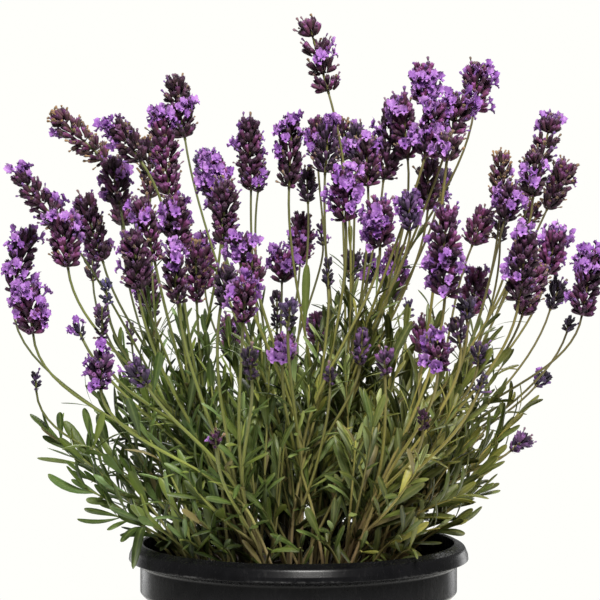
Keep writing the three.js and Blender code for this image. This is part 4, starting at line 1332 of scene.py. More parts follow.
def leaf_line(leaf, shares):
    """Points along a leaf's midrib."""
    return arc(leaf.root, leaf_control(leaf), leaf.tip, shares)


def add_leaf(surface, leaf, tint, twist=0.0, coarse=False):
    """A narrow leaf with a sunken midrib and edges that roll under. A coarse one has fewer faces."""
    steps, outline, spots, curl = LEAF_STEPS, LEAF_HALF_WIDTH, LEAF_ACROSS, LEAF_CURL
    if coarse:
        steps, outline = steps[COARSE_STEPS], outline[COARSE_STEPS]
        spots, curl = spots[COARSE_ACROSS], curl[COARSE_ACROSS]
    t = steps[:, None]
    control = leaf_control(leaf)
    tangent = (control - leaf.root) * 2 * (1 - t) + (leaf.tip - control) * 2 * t
    tangent = tangent / np.linalg.norm(tangent, axis=1)[:, None]
    across = np.cross(tangent, leaf.face)
    across /= np.linalg.norm(across, axis=1)[:, None]
    normal = np.cross(across, tangent)
    cosine, sine = np.cos(twist * t), np.sin(twist * t)
    across, normal = across * cosine + normal * sine, normal * cosine - across * sine
    half = (leaf.width / 2 * outline)[:, None, None]
    points = leaf_line(leaf, t)[:, None] + across[:, None] * spots[None, :, None] * half
    points = points + normal[:, None] * curl[None, :, None] * half
    along = np.repeat(steps, len(spots))
    ribs = np.tile(np.abs(spots), len(steps))
    surface.add(points, grid_faces(len(steps), len(spots)), tint=tint, along=along, fade=ribs)


def small_leaf(root, direction, facing, length, width, rng):
    """A leaf given by its root, its direction and the side that it turns up."""
    face = square_to(facing, direction)
    sag = rng.uniform(-0.34, 0.14)
    middle = root + direction * (length * 0.5) + face * (length * (0.05 + sag * 0.2))
    tip = root + direction * length + face * (length * sag)
    return SimpleNamespace(root=root, middle=middle, tip=tip, face=face, width=width)


def grow(surface, leaf, most_twist, rng, coarse=False):
    """Sets a leaf aside until every stem is known."""
    surface.leaves.append((leaf, rng.uniform(), rng.uniform(-most_twist, most_twist), coarse))


def grow_if_clear(surface, leaf, most_twist, rng, coarse=False):
    """Sets a leaf aside if it keeps clear of the pot."""
    if clear_of_pot(leaf.middle, CLEARANCE) and clear_of_pot(leaf.tip, CLEARANCE):
        grow(surface, leaf, most_twist, rng, coarse)


def woody_share(points, foot_height):
    """How far up the plant each point lies: 0 at the soil and 1 at the height of the head's foot."""
    return np.clip((points[:, 2] - SOIL_TOP) / max(foot_height - SOIL_TOP, 1), 0, 1)


def wavy(path, amount, rng):
    """A path with a slight wave in it. Its two ends stay where they are."""
    square = cross_frame(unit(path[-1] - path[0]))
    t = np.linspace(0, 1, len(path))
    wave = np.zeros((len(path), 3))
    for cycles in (1, 2, 3):
        wave += np.outer(np.sin(math.pi * cycles * t), scatter(square, rng)) * (amount / cycles)
    return path + wave


def spread_stalks(shoot):
    """Sets some stalks' feet to one side, so that they rise from the soil on their own."""
    rng = np.random.default_rng(SEED_SPREADS + shoot.index)
    square = cross_frame(shoot.direction)
    shoot.spreads = []
    for owner in range(len(shoot.heads)):
        outward = turned(square, rng.uniform(0, FULL_TURN))
        reach = rng.uniform(BUNDLE_NARROWEST, BUNDLE_WIDEST)
        shoot.spreads.append(outward * reach * (owner % OWN_FOOT_EVERY == 0))


def bundle_offset(shoot, owner, points):
    """How far the points of a stalk stand off the shoot's middle: most at the soil, nothing higher up."""
    if owner < 0:
        return np.zeros_like(points)
    start = soil_reach(shoot.direction)
    merge = BUNDLE_SHARE * (np.linalg.norm(shoot.heads[owner].foot - APEX) - start)
    share = np.clip((np.linalg.norm(points - APEX, axis=-1) - start) / merge, 0, 1)
    weight = 1 - share**2 * (3 - 2 * share)
    return shoot.spreads[owner] * weight[..., None]


def stalk_path(shoot, owner):
    """The path of one stalk, which starts in the soil if it has a foot of its own."""
    curve = shoot.curves[owner]
    path = bezier_points(curve, 20)
    if owner % OWN_FOOT_EVERY == 0:
        base = APEX + shoot.direction * (soil_reach(shoot.direction) - 5)
        lower = base + (curve[0] - base) * np.linspace(0, 1, 7)[:-1, None]
        path = np.concatenate([lower, path])
    return path + bundle_offset(shoot, owner, path)


def add_stems(surface, shoot):
    """The woody leader, and the squared green stalks that leave it or rise beside it."""
    rng = np.random.default_rng(SEED_STEMS + shoot.index)
    steps = np.linspace(0, 1, 18)[:, None]
    leader = wavy(shoot.leader[0] + (shoot.leader[-1] - shoot.leader[0]) * steps, LEADER_WAVE, rng)
    top = max(head.foot[2] for head in shoot.heads)
    radii = np.linspace(*LEADER_RADII, len(leader)) * rng.uniform(0.94, 1.08, len(leader))
    # Leaders that lean to the back are drawn darker than those at the front: painted shade.
    tint = np.interp(shoot.direction[1], (-0.4, 0.2), (0.6, 0.1)) + 0.4 * rng.uniform()
    add_tube(surface, leader, radii, LEADER_SIDES, tint, woody_share(leader, top) * 0.8)
    for owner, head in enumerate(shoot.heads):
        path = wavy(stalk_path(shoot, owner), STALK_WAVE, rng)
        path[-1] = head.foot
        thickness = np.interp(head.foot[1], THICKNESS_AND_SHADE_DEPTHS, (FRONT_THICKNESS, BACK_THICKNESS))
        radii = np.linspace(STALK_ROOT_RADIUS * STALK_SLIMMING, STALK_NECK_RADIUS, len(path))
        # Stalks of heads at the back are drawn darker than those at the front: painted shade.
        tint = np.interp(head.foot[1], THICKNESS_AND_SHADE_DEPTHS, (0.6, 0.0)) + 0.4 * rng.uniform()
        along = woody_share(path, head.foot[2])
        add_tube(surface, path, radii * thickness, STALK_SIDES, tint, along, STALK_SQUARENESS)


def front_stalks(shoots):
    """Where the stalks at the front of the bush are seen: pixels across, pixels down and depths."""
    points = []
    for shoot in shoots:
        base = APEX + shoot.direction * soil_reach(shoot.direction)
        for owner, (head, curve) in enumerate(zip(shoot.heads, shoot.curves)):
            if head.foot[1] < FRONT_DEPTH:
                lower = base + (curve[0] - base) * np.linspace(0, 1, 20)[:-1, None]
                path = np.concatenate([lower, bezier_points(curve, 80)])
                points.append(path + bundle_offset(shoot, owner, path))
    points = np.concatenate(points)
    return *to_photo(points), points[:, 1]


def hides_stalk(leaf, stalks):
    """Whether a leaf stands before a front stalk, as the photograph's camera sees it."""
    line = leaf_line(leaf, np.linspace(0.15, 1, 7)[:, None])
    across, down = to_photo(line)
    away = np.hypot(across[:, None] - stalks[0], down[:, None] - stalks[1])
    before = line[:, 1][:, None] < stalks[2] - 1.5
    return bool(np.any(before & (away < leaf.width * 0.3 + STALK_HALF_PIXELS)))


def add_waiting_leaves(shoots, surfaces):
    """Adds the leaves, but few of those that would hide a front stalk: the photograph shows them bare."""
    rng = np.random.default_rng(SEED_WAITING_LEAVES)
    stalks = front_stalks(shoots)
    for _, leaves in surfaces:
        for leaf, tint, twist, coarse in leaves.leaves:
            chance = rng.uniform()
            if hides_stalk(leaf, stalks) and chance < BARED_SHARE:
                continue
            add_leaf(leaves, leaf, DEAD if chance > 1 - DEAD_SHARE else tint, twist, coarse)


def add_stem_leaves(leaves, shoot):
    """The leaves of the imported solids, but slimmer, and moved along with their stalks."""
    rng = np.random.default_rng(SEED_LEAVES + shoot.index)
    for leaf in grow_leaves(shoot):
        step = bundle_offset(shoot, leaf.owner, leaf.root)
        slimness = float(np.interp(leaf.tip[2], SLIM_HEIGHTS, (1.0, SLIMMEST_HIGH_UP)))
        moved = SimpleNamespace(
            root=leaf.root + step,
            middle=leaf.middle + step,
            tip=leaf.tip + step,
            face=leaf.face,
            width=leaf.width * slimness * rng.uniform(LEAF_SLIMMEST, 1),
        )
        grow(leaves, moved, LEAF_TWIST, rng)


def add_tufts(leaves, shoot):
    """The young leaves that crowd in the axil of each leaf pair."""
    for number, site in enumerate(shoot.sites):
        if site.size < TUFT_LEAST:
            continue
        rng = np.random.default_rng(SEED_TUFTS + 500 * shoot.index + number)
        square = cross_frame(site.tangent)
        place = site.point + bundle_offset(shoot, site.owner, site.point)
        for half in (0, 1):
            outward = turned(square, site.turn + half * math.pi)
            sideways = np.cross(site.tangent, outward)
            for _ in range(rng.integers(1, 3)):
                spread = outward * rng.uniform(0.2, 0.9) + sideways * rng.uniform(-0.5, 0.5)
                direction = unit(site.tangent + spread)
                length = rng.uniform(*TUFT_LENGTHS) * (0.6 + 0.4 * site.size)
                width = length * TUFT_BREADTH
                leaf = small_leaf(place, direction, site.tangent, length, width, rng)
                grow_if_clear(leaves, leaf, TUFT_TWIST, rng, coarse=True)


def add_branch_leaf(leaves, place, tangent, turn, share, leaf_length, rng):
    """A leaf at a share of a branch's length, on the side that the turn names."""
    outward = turned(cross_frame(tangent), turn + rng.uniform(-0.25, 0.25))
    tilt = rng.uniform(*BRANCH_TILTS) * (1 - 0.45 * share**2)
    direction = tangent * math.cos(tilt) + outward * math.sin(tilt)
    direction = unit(direction + np.array([0, 0, rng.uniform(0.1, 0.8)]))
    length = leaf_length * rng.uniform(0.75, 1.15) * (0.72 + 0.5 * share - 0.6 * share**3)
    width = length * rng.uniform(*BRANCH_LEAF_BREADTHS)
    grow_if_clear(leaves, small_leaf(place, direction, tangent, length, width, rng), LEAF_TWIST, rng)


def add_leafy_branch(stems, leaves, curve, leaf_length, rng):
    """A branch without flowers: a thin stem with leaf pairs that close up into a tuft at its tip."""
    path = bezier_points(curve, BRANCH_SPANS)
    if not all(clear_of_pot(point, CLEARANCE) or point[2] < SOIL_TOP + 3 for point in path):
        return
    radii = np.linspace(*BRANCH_RADII, len(path))
    along = np.linspace(0.15, 0.7, len(path))
    add_tube(stems, path, radii, STALK_SIDES, rng.uniform(), along, BRANCH_SQUARENESS)
    travelled = np.append(0, np.cumsum(np.linalg.norm(np.diff(path, axis=0), axis=1)))
    total = travelled[-1]
    at = total * np.interp(total, (60, 150), (0.26, 0.52))
    turn = rng.uniform(0, math.pi)
    while at < total:
        share = at / total
        place = np.array([np.interp(at, travelled, column) for column in path.T])
        step = min(int(np.searchsorted(travelled, at)), len(path) - 1)
        tangent = unit(path[step] - path[step - 1])
        for half in (0, 1):
            add_branch_leaf(leaves, place, tangent, turn + half * math.pi, share, leaf_length, rng)
        turn += math.pi / 2 + rng.uniform(-0.2, 0.2)
        at += rng.uniform(*BRANCH_PITCHES) * (1 - 0.6 * share)


def add_low_branches(stems, leaves, shoot):
    """The branches without flowers that thicken the foot of the bush."""
    rng = np.random.default_rng(SEED_LOW_BRANCHES + shoot.index)
    square = cross_frame(shoot.direction)
    start = soil_reach(shoot.direction)
    for _ in range(LOW_BRANCHES):
        outward = turned(square, rng.uniform(0, FULL_TURN))
        direction = unit(shoot.direction + outward * rng.uniform(*LOW_SPREADS))
        root = APEX + shoot.direction * (start + rng.uniform(*LOW_ROOTS))
        length = rng.uniform(*LOW_LENGTHS)
        tip = root + direction * length + np.array([0, 0, length * rng.uniform(*LOW_RISES)])
        curve = [root, root + direction * length * 0.35, root + direction * length * 0.7, tip]
        add_leafy_branch(stems, leaves, curve, rng.uniform(*LOW_LEAF_LENGTHS), rng)


def branch_curve(root, tip, rise):
    """A branch that leaves the soil steeply and then leans out to its tip."""
    reach = tip - root
    lift = np.array([0, 0, rise])
    return [root, root + reach * 0.3 + lift, root + reach * 0.7 + lift * 0.8, tip]


def soil_point(pixel_x, depth):
    """A point in the top of the soil, under a pixel column of the photograph."""
    point = from_photo(pixel_x, PHOTO_MIDDLE, depth)
    point[2] = SOIL_TOP - 1
    return point


def branches_read():
    """The branches that were read off the photograph, each with the length of its leaves."""
    branches = []
    for root_x, root_depth, tip_x, tip_y, tip_depth, leaf_length in BRANCH_READINGS:
        root = soil_point(root_x, root_depth)
        tip = from_photo(tip_x, tip_y, tip_depth)
        branches.append((branch_curve(root, tip, SKIRT_READ_RISE), leaf_length))
    return branches


def branches_guessed(rng):
    """Branches around the sides and the back of the bush, each with the length of its leaves."""
    branches = []
    for number in range(SKIRT_BRANCHES):
        turn = (number + rng.uniform(-0.4, 0.4)) * FULL_TURN / SKIRT_BRANCHES
        outward = np.array([math.cos(turn), math.sin(turn), 0])
        in_front = outward[1] < -0.5
        if in_front:
            continue
        root = outward * rng.uniform(*SKIRT_ROOT_REACHES) + np.array([0, 0, SOIL_TOP - 1])
        reach = rng.uniform(*SKIRT_TIP_REACHES)
        tip = outward * reach + np.array([0, 0, rng.uniform(*SKIRT_TIP_HEIGHTS)])
        curve = branch_curve(root, tip, rng.uniform(*SKIRT_RISES))
        branches.append((curve, rng.uniform(*SKIRT_LEAF_LENGTHS)))
    return branches


def add_skirt(shoots, surfaces):
    """The outermost low branches, each on the shoot whose direction is nearest."""
    rng = np.random.default_rng(SEED_SKIRT)
    directions = np.array([shoot.direction for shoot in shoots])
    for curve, leaf_length in branches_read() + branches_guessed(rng):
        owner = nearest_direction(directions, unit((curve[0] + curve[3]) * 0.5 - APEX))
        stems, leaves = surfaces[owner]
        add_leafy_branch(stems, leaves, curve, leaf_length, rng)


def past_rim(point):
    """Whether a leaf at a point clears the pot, inside it, above its rim or outside its lip."""
    return clear_of_pot(point, 1.2) or math.hypot(point[0], point[1]) > LIP_RADIUS + 2


def read_leaf(reading, spots, pixels):
    """A leaf between two pixels, on the stem that passes nearest to its root and to the camera."""
    root_x, root_y, tip_x, tip_y, nearer, width, arch = reading
    away = np.hypot(pixels[0] - root_x, pixels[1] - root_y)
    pick = int(np.argmin(away + 0.04 * spots[:, 1]))
    if away[pick] > LEAF_READ_REACH:
        return None
    root = spots[pick]
    tip = from_photo(tip_x, tip_y, root[1] - nearer)
    length = float(np.linalg.norm(tip - root))
    for rise in range(6):
        middle = (root + tip) * 0.5 + np.array([0, 0, length * (arch + 0.08 * rise)])
        leaf = SimpleNamespace(root=root, middle=middle, tip=tip, width=width)
        if all(past_rim(point) for point in leaf_line(leaf, np.linspace(0.3, 1, 8)[:, None])):
            return pick, leaf
    return None


def spots_on_stems(surfaces):
    """Points close together along every stem, and the number of the shoot that each is on."""
    shares = np.linspace(0, 1, 5)[:-1, None, None]
    spots = []
    owners = []
    for owner, (stems, _) in enumerate(surfaces):
        for path in stems.paths:
            dense = (path[:-1] + (path[1:] - path[:-1]) * shares).reshape(-1, 3)
            spots.append(dense)
            owners += [owner] * len(dense)
    return np.concatenate(spots), owners


def add_read_leaves(surfaces):
    """The single leaves that were read off the photograph."""
    rng = np.random.default_rng(SEED_READ_LEAVES)
    spots, owners = spots_on_stems(surfaces)
    pixels = to_photo(spots)
    for reading in LEAF_READINGS:
        found = read_leaf(reading, spots, pixels)
        facing = unit(np.array([rng.uniform(-0.3, 0.3), -rng.uniform(0.35, 1.0), 0.9]))
        tint = rng.uniform(0.05, 0.8)
        if found is None:
            continue
        pick, leaf = found
        leaf.face = square_to(facing, unit(leaf.tip - leaf.root))
        add_leaf(surfaces[owners[pick]][1], leaf, tint, rng.uniform(-0.3, 0.3))


def fillet(profile, arc_steps=4, guard=0.35):
    """Rounds the corners of a profile of (radius, height, rounding), with a line beside each arc."""
    points = []
    for index, (radius, height, rounding) in enumerate(profile):
        here = np.array([radius, height])
        if rounding == 0:
            points.append(here)
            continue
        before = np.array(profile[index - 1][:2]) - here
        after = np.array(profile[index + 1][:2]) - here
        spans = np.linalg.norm(before), np.linalg.norm(after)
        back, ahead = unit(before), unit(after)
        half = 0.5 * math.acos(max(-1.0, min(1.0, float(back @ ahead))))
        cut = min(rounding / math.tan(half), 0.42 * spans[0], 0.42 * spans[1])
        first = here + back * cut
        last = here + ahead * cut
        points.append(first + back * min(guard, 0.1 * spans[0]))
        points += [arc(first, here, last, t) for t in np.linspace(0, 1, arc_steps + 1)]
        points.append(last + ahead * min(guard, 0.1 * spans[1]))
    return np.array(points)


def add_lathe(surface, outline, sides):
    """A body of revolution whose outline starts and ends on the axis."""
    angles = corner_angles(sides)
    rings = [flat_ring(radius, height, angles) for radius, height in outline[1:-1]]
    points, faces = closed_body(rings, outline[0, 1], outline[-1, 1])
    surface.add(points, faces, along=points[:, 2] / POT_HEIGHT)


def soil_height(x, y, waves):
    """The height of the soil's lumpy top, where each wave has a turn, a phase, a size and a height."""
    height = 0.0
    for turn, phase, size, lift in waves:
        height = height + lift * np.sin((x * math.cos(turn) + y * math.sin(turn)) / size + phase)
    return SOIL_TOP + height * SOIL_WAVE_LIFT


# A crumb of bark or peat, of unit size, and its material, which comes after the soil's.
CHIP_SLOT = 1
CHIP_POINTS = np.array(
    [(1, 0, 0), (0.4, 0.9, 0), (-0.5, 0.8, 0), (-1, 0, 0), (-0.4, -0.9, 0), (0.6, -0.8, 0)]
    + [(0.5, 0.3, 0.7), (-0.3, 0.5, 0.6), (-0.4, -0.4, 0.75), (0.4, -0.5, 0.6), (0.1, 0.0, -0.6)]
)
CHIP_FACES = np.array(
    [(0, 1, 6), (1, 2, 7), (1, 7, 6), (2, 3, 7), (3, 8, 7), (3, 4, 8), (4, 9, 8), (4, 5, 9), (5, 0, 9)]
    + [(0, 6, 9), (6, 7, 8), (6, 8, 9), (1, 0, 10), (2, 1, 10), (3, 2, 10), (4, 3, 10), (5, 4, 10)]
    + [(0, 5, 10)]
)


def add_chip(surface, place, size, rng):
    """A crumb that lies in the soil's top, stretched and turned by chance."""
    turn = rng.uniform(0, FULL_TURN)
    along = np.array([math.cos(turn), math.sin(turn), rng.uniform(-0.2, 0.2)])
    across = np.array([-math.sin(turn), math.cos(turn), rng.uniform(-0.2, 0.2)])
    points = CHIP_POINTS * rng.uniform(0.75, 1.25, CHIP_POINTS.shape)
    frame = np.array([along * rng.uniform(1.0, 2.2), across, (0, 0, 0.7)]) * size
    surface.add(place + points @ frame, CHIP_FACES, tint=rng.uniform(), slot=CHIP_SLOT)


def add_soil(surface):
    """The body of soil, with crumbs and chips all over its top."""
    rng = np.random.default_rng(SEED_SOIL)
    waves = [(rng.uniform(0, math.pi), rng.uniform(0, 6), size, lift) for size, lift in SOIL_WAVES]
    angles = corner_angles(SOIL_SIDES)
    rings = [flat_ring(radius, height, angles) for radius, height in SOIL_WALL]
    for radius in np.linspace(1.0, 0.03, SOIL_RINGS) * SOIL_RADIUS:
        ring = flat_ring(radius, SOIL_TOP, angles)
        ring[:, 2] = soil_height(ring[:, 0], ring[:, 1], waves)
        rings.append(ring)
    surface.add(*closed_body(rings, SOIL_BOTTOM, SOIL_TOP), tint=SOIL_TINT)
    for _ in range(SOIL_CHIPS):
        turn = rng.uniform(0, FULL_TURN)
        reach = (SOIL_RADIUS - 4) * math.sqrt(rng.uniform(0.02, 1))
        x = reach * math.cos(turn)
        y = reach * math.sin(turn)
        add_chip(surface, np.array([x, y, soil_height(x, y, waves)]), rng.uniform(*CHIP_SIZES), rng)


class Look:
    """A material being wired up: one Principled shader and the nodes that feed it."""

    def __init__(self, name, **constants):
        self.material = bpy.data.materials.new(name)
        self.material.use_nodes = True
        self.nodes = self.material.node_tree.nodes
        self.links = self.material.node_tree.links
        self.shader = next(node for node in self.nodes if node.type == "BSDF_PRINCIPLED")
        for label, value in constants.items():
            self.shader.inputs[label.replace("_", " ")].default_value = value
        self.place = self.nodes.new("ShaderNodeTexCoord").outputs["Object"]

    def link(self, value, socket):
        """Feeds a socket from another one, or sets it to a number or to a colour of three numbers."""
        if isinstance(value, bpy.types.NodeSocket):
            self.links.new(value, socket)
        else:
            socket.default_value = (*value, 1) if isinstance(value, tuple) else value

    def mesh_value(self, label):
        node = self.nodes.new("ShaderNodeAttribute")
        node.attribute_name = label
        return node.outputs["Fac"]

    def coordinates(self):
        """How far a point lies to the right, behind and above the middle of the pot's foot, in metres."""
        node = self.nodes.new("ShaderNodeSeparateXYZ")
        self.links.new(self.place, node.inputs[0])
        return node.outputs["X"], node.outputs["Y"], node.outputs["Z"]

    def noise(self, size, detail=2.0, roughness=0.5, stretch=None):
        """Noise whose grain is about the given size in millimetres."""
        node = self.nodes.new("ShaderNodeTexNoise")
        node.inputs["Scale"].default_value = 1 / (size * MM)
        node.inputs["Detail"].default_value = detail
        node.inputs["Roughness"].default_value = roughness
        place = self.place
        if stretch:
            mapping = self.nodes.new("ShaderNodeMapping")
            mapping.inputs["Scale"].default_value = stretch
            self.links.new(place, mapping.inputs["Vector"])
            place = mapping.outputs["Vector"]
        self.links.new(place, node.inputs["Vector"])
        return node.outputs["Fac"]

    def math(self, operation, first, second=0.0, clamp=False):
        node = self.nodes.new("ShaderNodeMath")
        node.operation = operation
        node.use_clamp = clamp
        self.link(first, node.inputs[0])
        self.link(second, node.inputs[1])
        return node.outputs[0]

    def spread(self, value, low, high, low_out=0.0, high_out=1.0):
        """A value between low and high, spread over another range."""
        node = self.nodes.new("ShaderNodeMapRange")
        self.link(value, node.inputs["Value"])
        node.inputs["From Min"].default_value = low
        node.inputs["From Max"].default_value = high
        node.inputs["To Min"].default_value = low_out
        node.inputs["To Max"].default_value = high_out
        return node.outputs[0]

    def ramp(self, value, stops):
        """Colours at positions along a value. Each stop holds a position, red, green and blue."""
        node = self.nodes.new("ShaderNodeValToRGB")
        elements = node.color_ramp.elements
        while len(elements) < len(stops):
            elements.new(1.0)
        for element, (position, *colour) in zip(elements, stops):
            element.position = position
            element.color = (*colour, 1)
        self.link(value, node.inputs["Fac"])
        return node.outputs["Color"]

    def mix(self, share, first, second, blend="MIX"):
        node = self.nodes.new("ShaderNodeMix")
        node.data_type = "RGBA"
        node.blend_type = blend
        self.link(share, node.inputs[0])
        self.link(first, node.inputs[6])
        self.link(second, node.inputs[7])
        return node.outputs[2]

    def tinted(self, colour, tint):
        return self.mix(1.0, colour, tint, "MULTIPLY")

    def laid_over(self, colour, value, low, high, most, other):
        """A colour with another laid over it: none of it at a low value, and most of it at a high one."""
        return self.mix(self.spread(value, low, high, 0.0, most), colour, other)

    def cool_shade_left_warm_right(self, colour):
        """Cool green and painted shade on the bush's left, a browner green on its right."""
        right, _, _ = self.coordinates()
        share = self.spread(right, COOL_SHADE_UNTIL, WARM_FROM)
        return self.mix(share, self.tinted(colour, COOL_SHADE), self.tinted(colour, WARM))

    def painted_shade_at_the_heart(self, colour, core, edge):
        """Painted shade: wood and leaves are drawn darker at the heart of the bush, close to the soil."""
        right, behind, above = self.coordinates()
        steps = [right, self.math("SUBTRACT", behind, HEART_SHADE_BACK)]
        squares = [self.math("MULTIPLY", step, step) for step in steps]
        reach = self.math("SQRT", self.math("ADD", *squares))
        low = self.spread(above, HEART_SHADE_DARKEST_AT, HEART_SHADE_TOP, HEART_SHADE_STRENGTH, 0.0)
        inside = self.spread(reach, core, edge, 1.0, 0.0)
        return self.mix(self.math("MULTIPLY", low, inside), colour, HEART_SHADE)

    def finish(self, colour, roughness, height, depth):
        """Wires the colour, the roughness and the bump, whose height is in millimetres."""
        self.link(colour, self.shader.inputs["Base Color"])
        self.link(roughness, self.shader.inputs["Roughness"])
        bump = self.nodes.new("ShaderNodeBump")
        bump.inputs["Distance"].default_value = depth * MM
        self.links.new(height, bump.inputs["Height"])
        self.links.new(bump.outputs["Normal"], self.shader.inputs["Normal"])
        return self.material


# Colours along a piece from its root to its tip, for its darkest and its lightest tint.
CALYX_DARK = [
    (0.0, 0.014, 0.01, 0.006), (0.25, 0.008, 0.0015, 0.005), (0.8, 0.008, 0.001, 0.006),
    (1.0, 0.028, 0.005, 0.028),
]
CALYX_LIGHT = [
    (0.0, 0.07, 0.04, 0.03), (0.3, 0.11, 0.024, 0.062), (0.8, 0.106, 0.019, 0.08), (1.0, 0.21, 0.06, 0.21),
]
FLORET_DEEP = [(0.0, 0.07, 0.02, 0.12), (0.35, 0.12, 0.035, 0.19), (0.9, 0.19, 0.062, 0.29)]
FLORET_PALE = [(0.0, 0.09, 0.035, 0.16), (0.35, 0.19, 0.07, 0.29), (0.9, 0.36, 0.18, 0.435)]
SPENT_VIOLET = [(0.0, 0.07, 0.03, 0.09), (1.0, 0.15, 0.06, 0.28)]
SPENT_BROWN = [(0.0, 0.05, 0.03, 0.025), (1.0, 0.17, 0.11, 0.06)]
# The stems darken sharply towards the soil, at their first stop: painted shade at the foot of the bush.
STEM_DARK = [
    (0.0, 0.02, 0.012, 0.006), (0.14, 0.075, 0.05, 0.022), (0.32, 0.13, 0.118, 0.03),
    (0.65, 0.068, 0.074, 0.016), (1.0, 0.035, 0.034, 0.014),
]
STEM_LIGHT = [
    (0.0, 0.09, 0.052, 0.024), (0.14, 0.4, 0.3, 0.16), (0.32, 0.33, 0.29, 0.11),
    (0.65, 0.215, 0.222, 0.043), (1.0, 0.13, 0.13, 0.04),
]

# The colours of leaves from the darkest to the lightest tint.
LEAF_GREENS = [
    (0.0, 0.016, 0.026, 0.002), (0.4, 0.042, 0.061, 0.006), (0.75, 0.092, 0.119, 0.018),
    (1.0, 0.25, 0.28, 0.075),
]

# Colours by the grain of a surface.
POT_BLACKS = [(0.3, 0.002, 0.002, 0.0024), (0.75, 0.0045, 0.0045, 0.0052)]
FLOOR_WHITES = [(0.3, 0.86, 0.86, 0.835), (0.7, 0.9, 0.9, 0.875)]


def calyx_look():
    sheen = {"Sheen_Weight": 0.05, "Sheen_Roughness": 0.5, "Sheen_Tint": (0.75, 0.6, 0.8, 1)}
    look = Look("calyx_down", Specular_IOR_Level=0.22, **sheen)
    tint = look.mesh_value("tint")
    along = look.mesh_value("along")
    fade = look.mesh_value("fade")
    dark = look.ramp(along, CALYX_DARK)
    light = look.ramp(along, CALYX_LIGHT)
    colour = look.mix(look.math("POWER", tint, 2.3), dark, light)
    patches = look.noise(1.1, 3)
    colour = look.laid_over(colour, patches, 0.5, 0.85, 0.4, (0.08, 0.017, 0.068))
    old = look.math("MULTIPLY", fade, look.spread(look.noise(5.0, 2), 0.42, 0.62), clamp=True)
    colour = look.mix(look.math("MULTIPLY", old, 0.75), colour, (0.06, 0.04, 0.024))
    young = look.mix(tint, (0.012, 0.012, 0.017), (0.075, 0.06, 0.15))
    colour = look.mix(look.spread(fade, 0.0, -1.0), colour, young)
    roughness = look.spread(patches, 0.2, 0.8, 0.45, 0.7)
    return look.finish(colour, roughness, look.noise(0.28, 2), 0.12)


def floret_look():
    sheen = {"Sheen_Weight": 0.1, "Sheen_Roughness": 0.4}
    glow = {"Subsurface_Weight": 0.2, "Subsurface_Scale": 0.001, "Subsurface_Radius": (0.7, 0.4, 1.0)}
    look = Look("corolla", Specular_IOR_Level=0.3, **sheen, **glow)
    along = look.mesh_value("along")
    deep = look.ramp(along, FLORET_DEEP)
    pale = look.ramp(along, FLORET_PALE)
    colour = look.mix(look.mesh_value("tint"), deep, pale)
    streaks = look.noise(0.9, 3)
    colour = look.laid_over(colour, streaks, 0.4, 0.8, 0.5, (0.15, 0.05, 0.27))
    roughness = look.spread(streaks, 0.2, 0.8, 0.42, 0.62)
    return look.finish(colour, roughness, look.noise(0.45, 3), 0.1)


def spent_look():
    look = Look("spent_floret", Sheen_Weight=0.2, Specular_IOR_Level=0.2)
    along = look.mesh_value("along")
    violet = look.ramp(along, SPENT_VIOLET)
    brown = look.ramp(along, SPENT_BROWN)
    by_fade = look.math("MULTIPLY", look.mesh_value("fade"), 0.7)
    by_tint = look.math("MULTIPLY", look.mesh_value("tint"), 0.5)
    dryness = look.math("ADD", by_fade, by_tint, clamp=True)
    colour = look.mix(look.spread(dryness, 0.3, 0.6), violet, brown)
    colour = look.laid_over(colour, dryness, 0.7, 0.95, 0.85, (0.27, 0.16, 0.068))
    patches = look.noise(0.8, 3)
    colour = look.laid_over(colour, patches, 0.4, 0.8, 0.5, (0.09, 0.045, 0.05))
    roughness = look.spread(patches, 0.2, 0.8, 0.6, 0.85)
    return look.finish(colour, roughness, look.noise(0.3, 3), 0.14)


def stem_look():
    look = Look("stem", Sheen_Weight=0.04, Sheen_Roughness=0.5, Specular_IOR_Level=0.3)
    uneven = look.spread(look.noise(14.0, 2), 0, 1, -0.05, 0.05)
    age = look.math("ADD", look.mesh_value("along"), uneven)
    dark = look.ramp(age, STEM_DARK)
    light = look.ramp(age, STEM_LIGHT)
    colour = look.mix(look.mesh_value("tint"), dark, light)
    grain = look.noise(1.2, 4, 0.6, (1, 1, 0.16))
    colour = look.laid_over(colour, grain, 0.35, 0.75, 0.4, (0.13, 0.12, 0.04))
    # The stems are darkened at the heart of the bush as painted shade.
    # The stems' left side is darkened as painted shade, with a cool tint.
    colour = look.painted_shade_at_the_heart(look.cool_shade_left_warm_right(colour), 0.0, 0.06)
    return look.finish(colour, look.spread(grain, 0.2, 0.8, 0.5, 0.72), grain, 0.25)


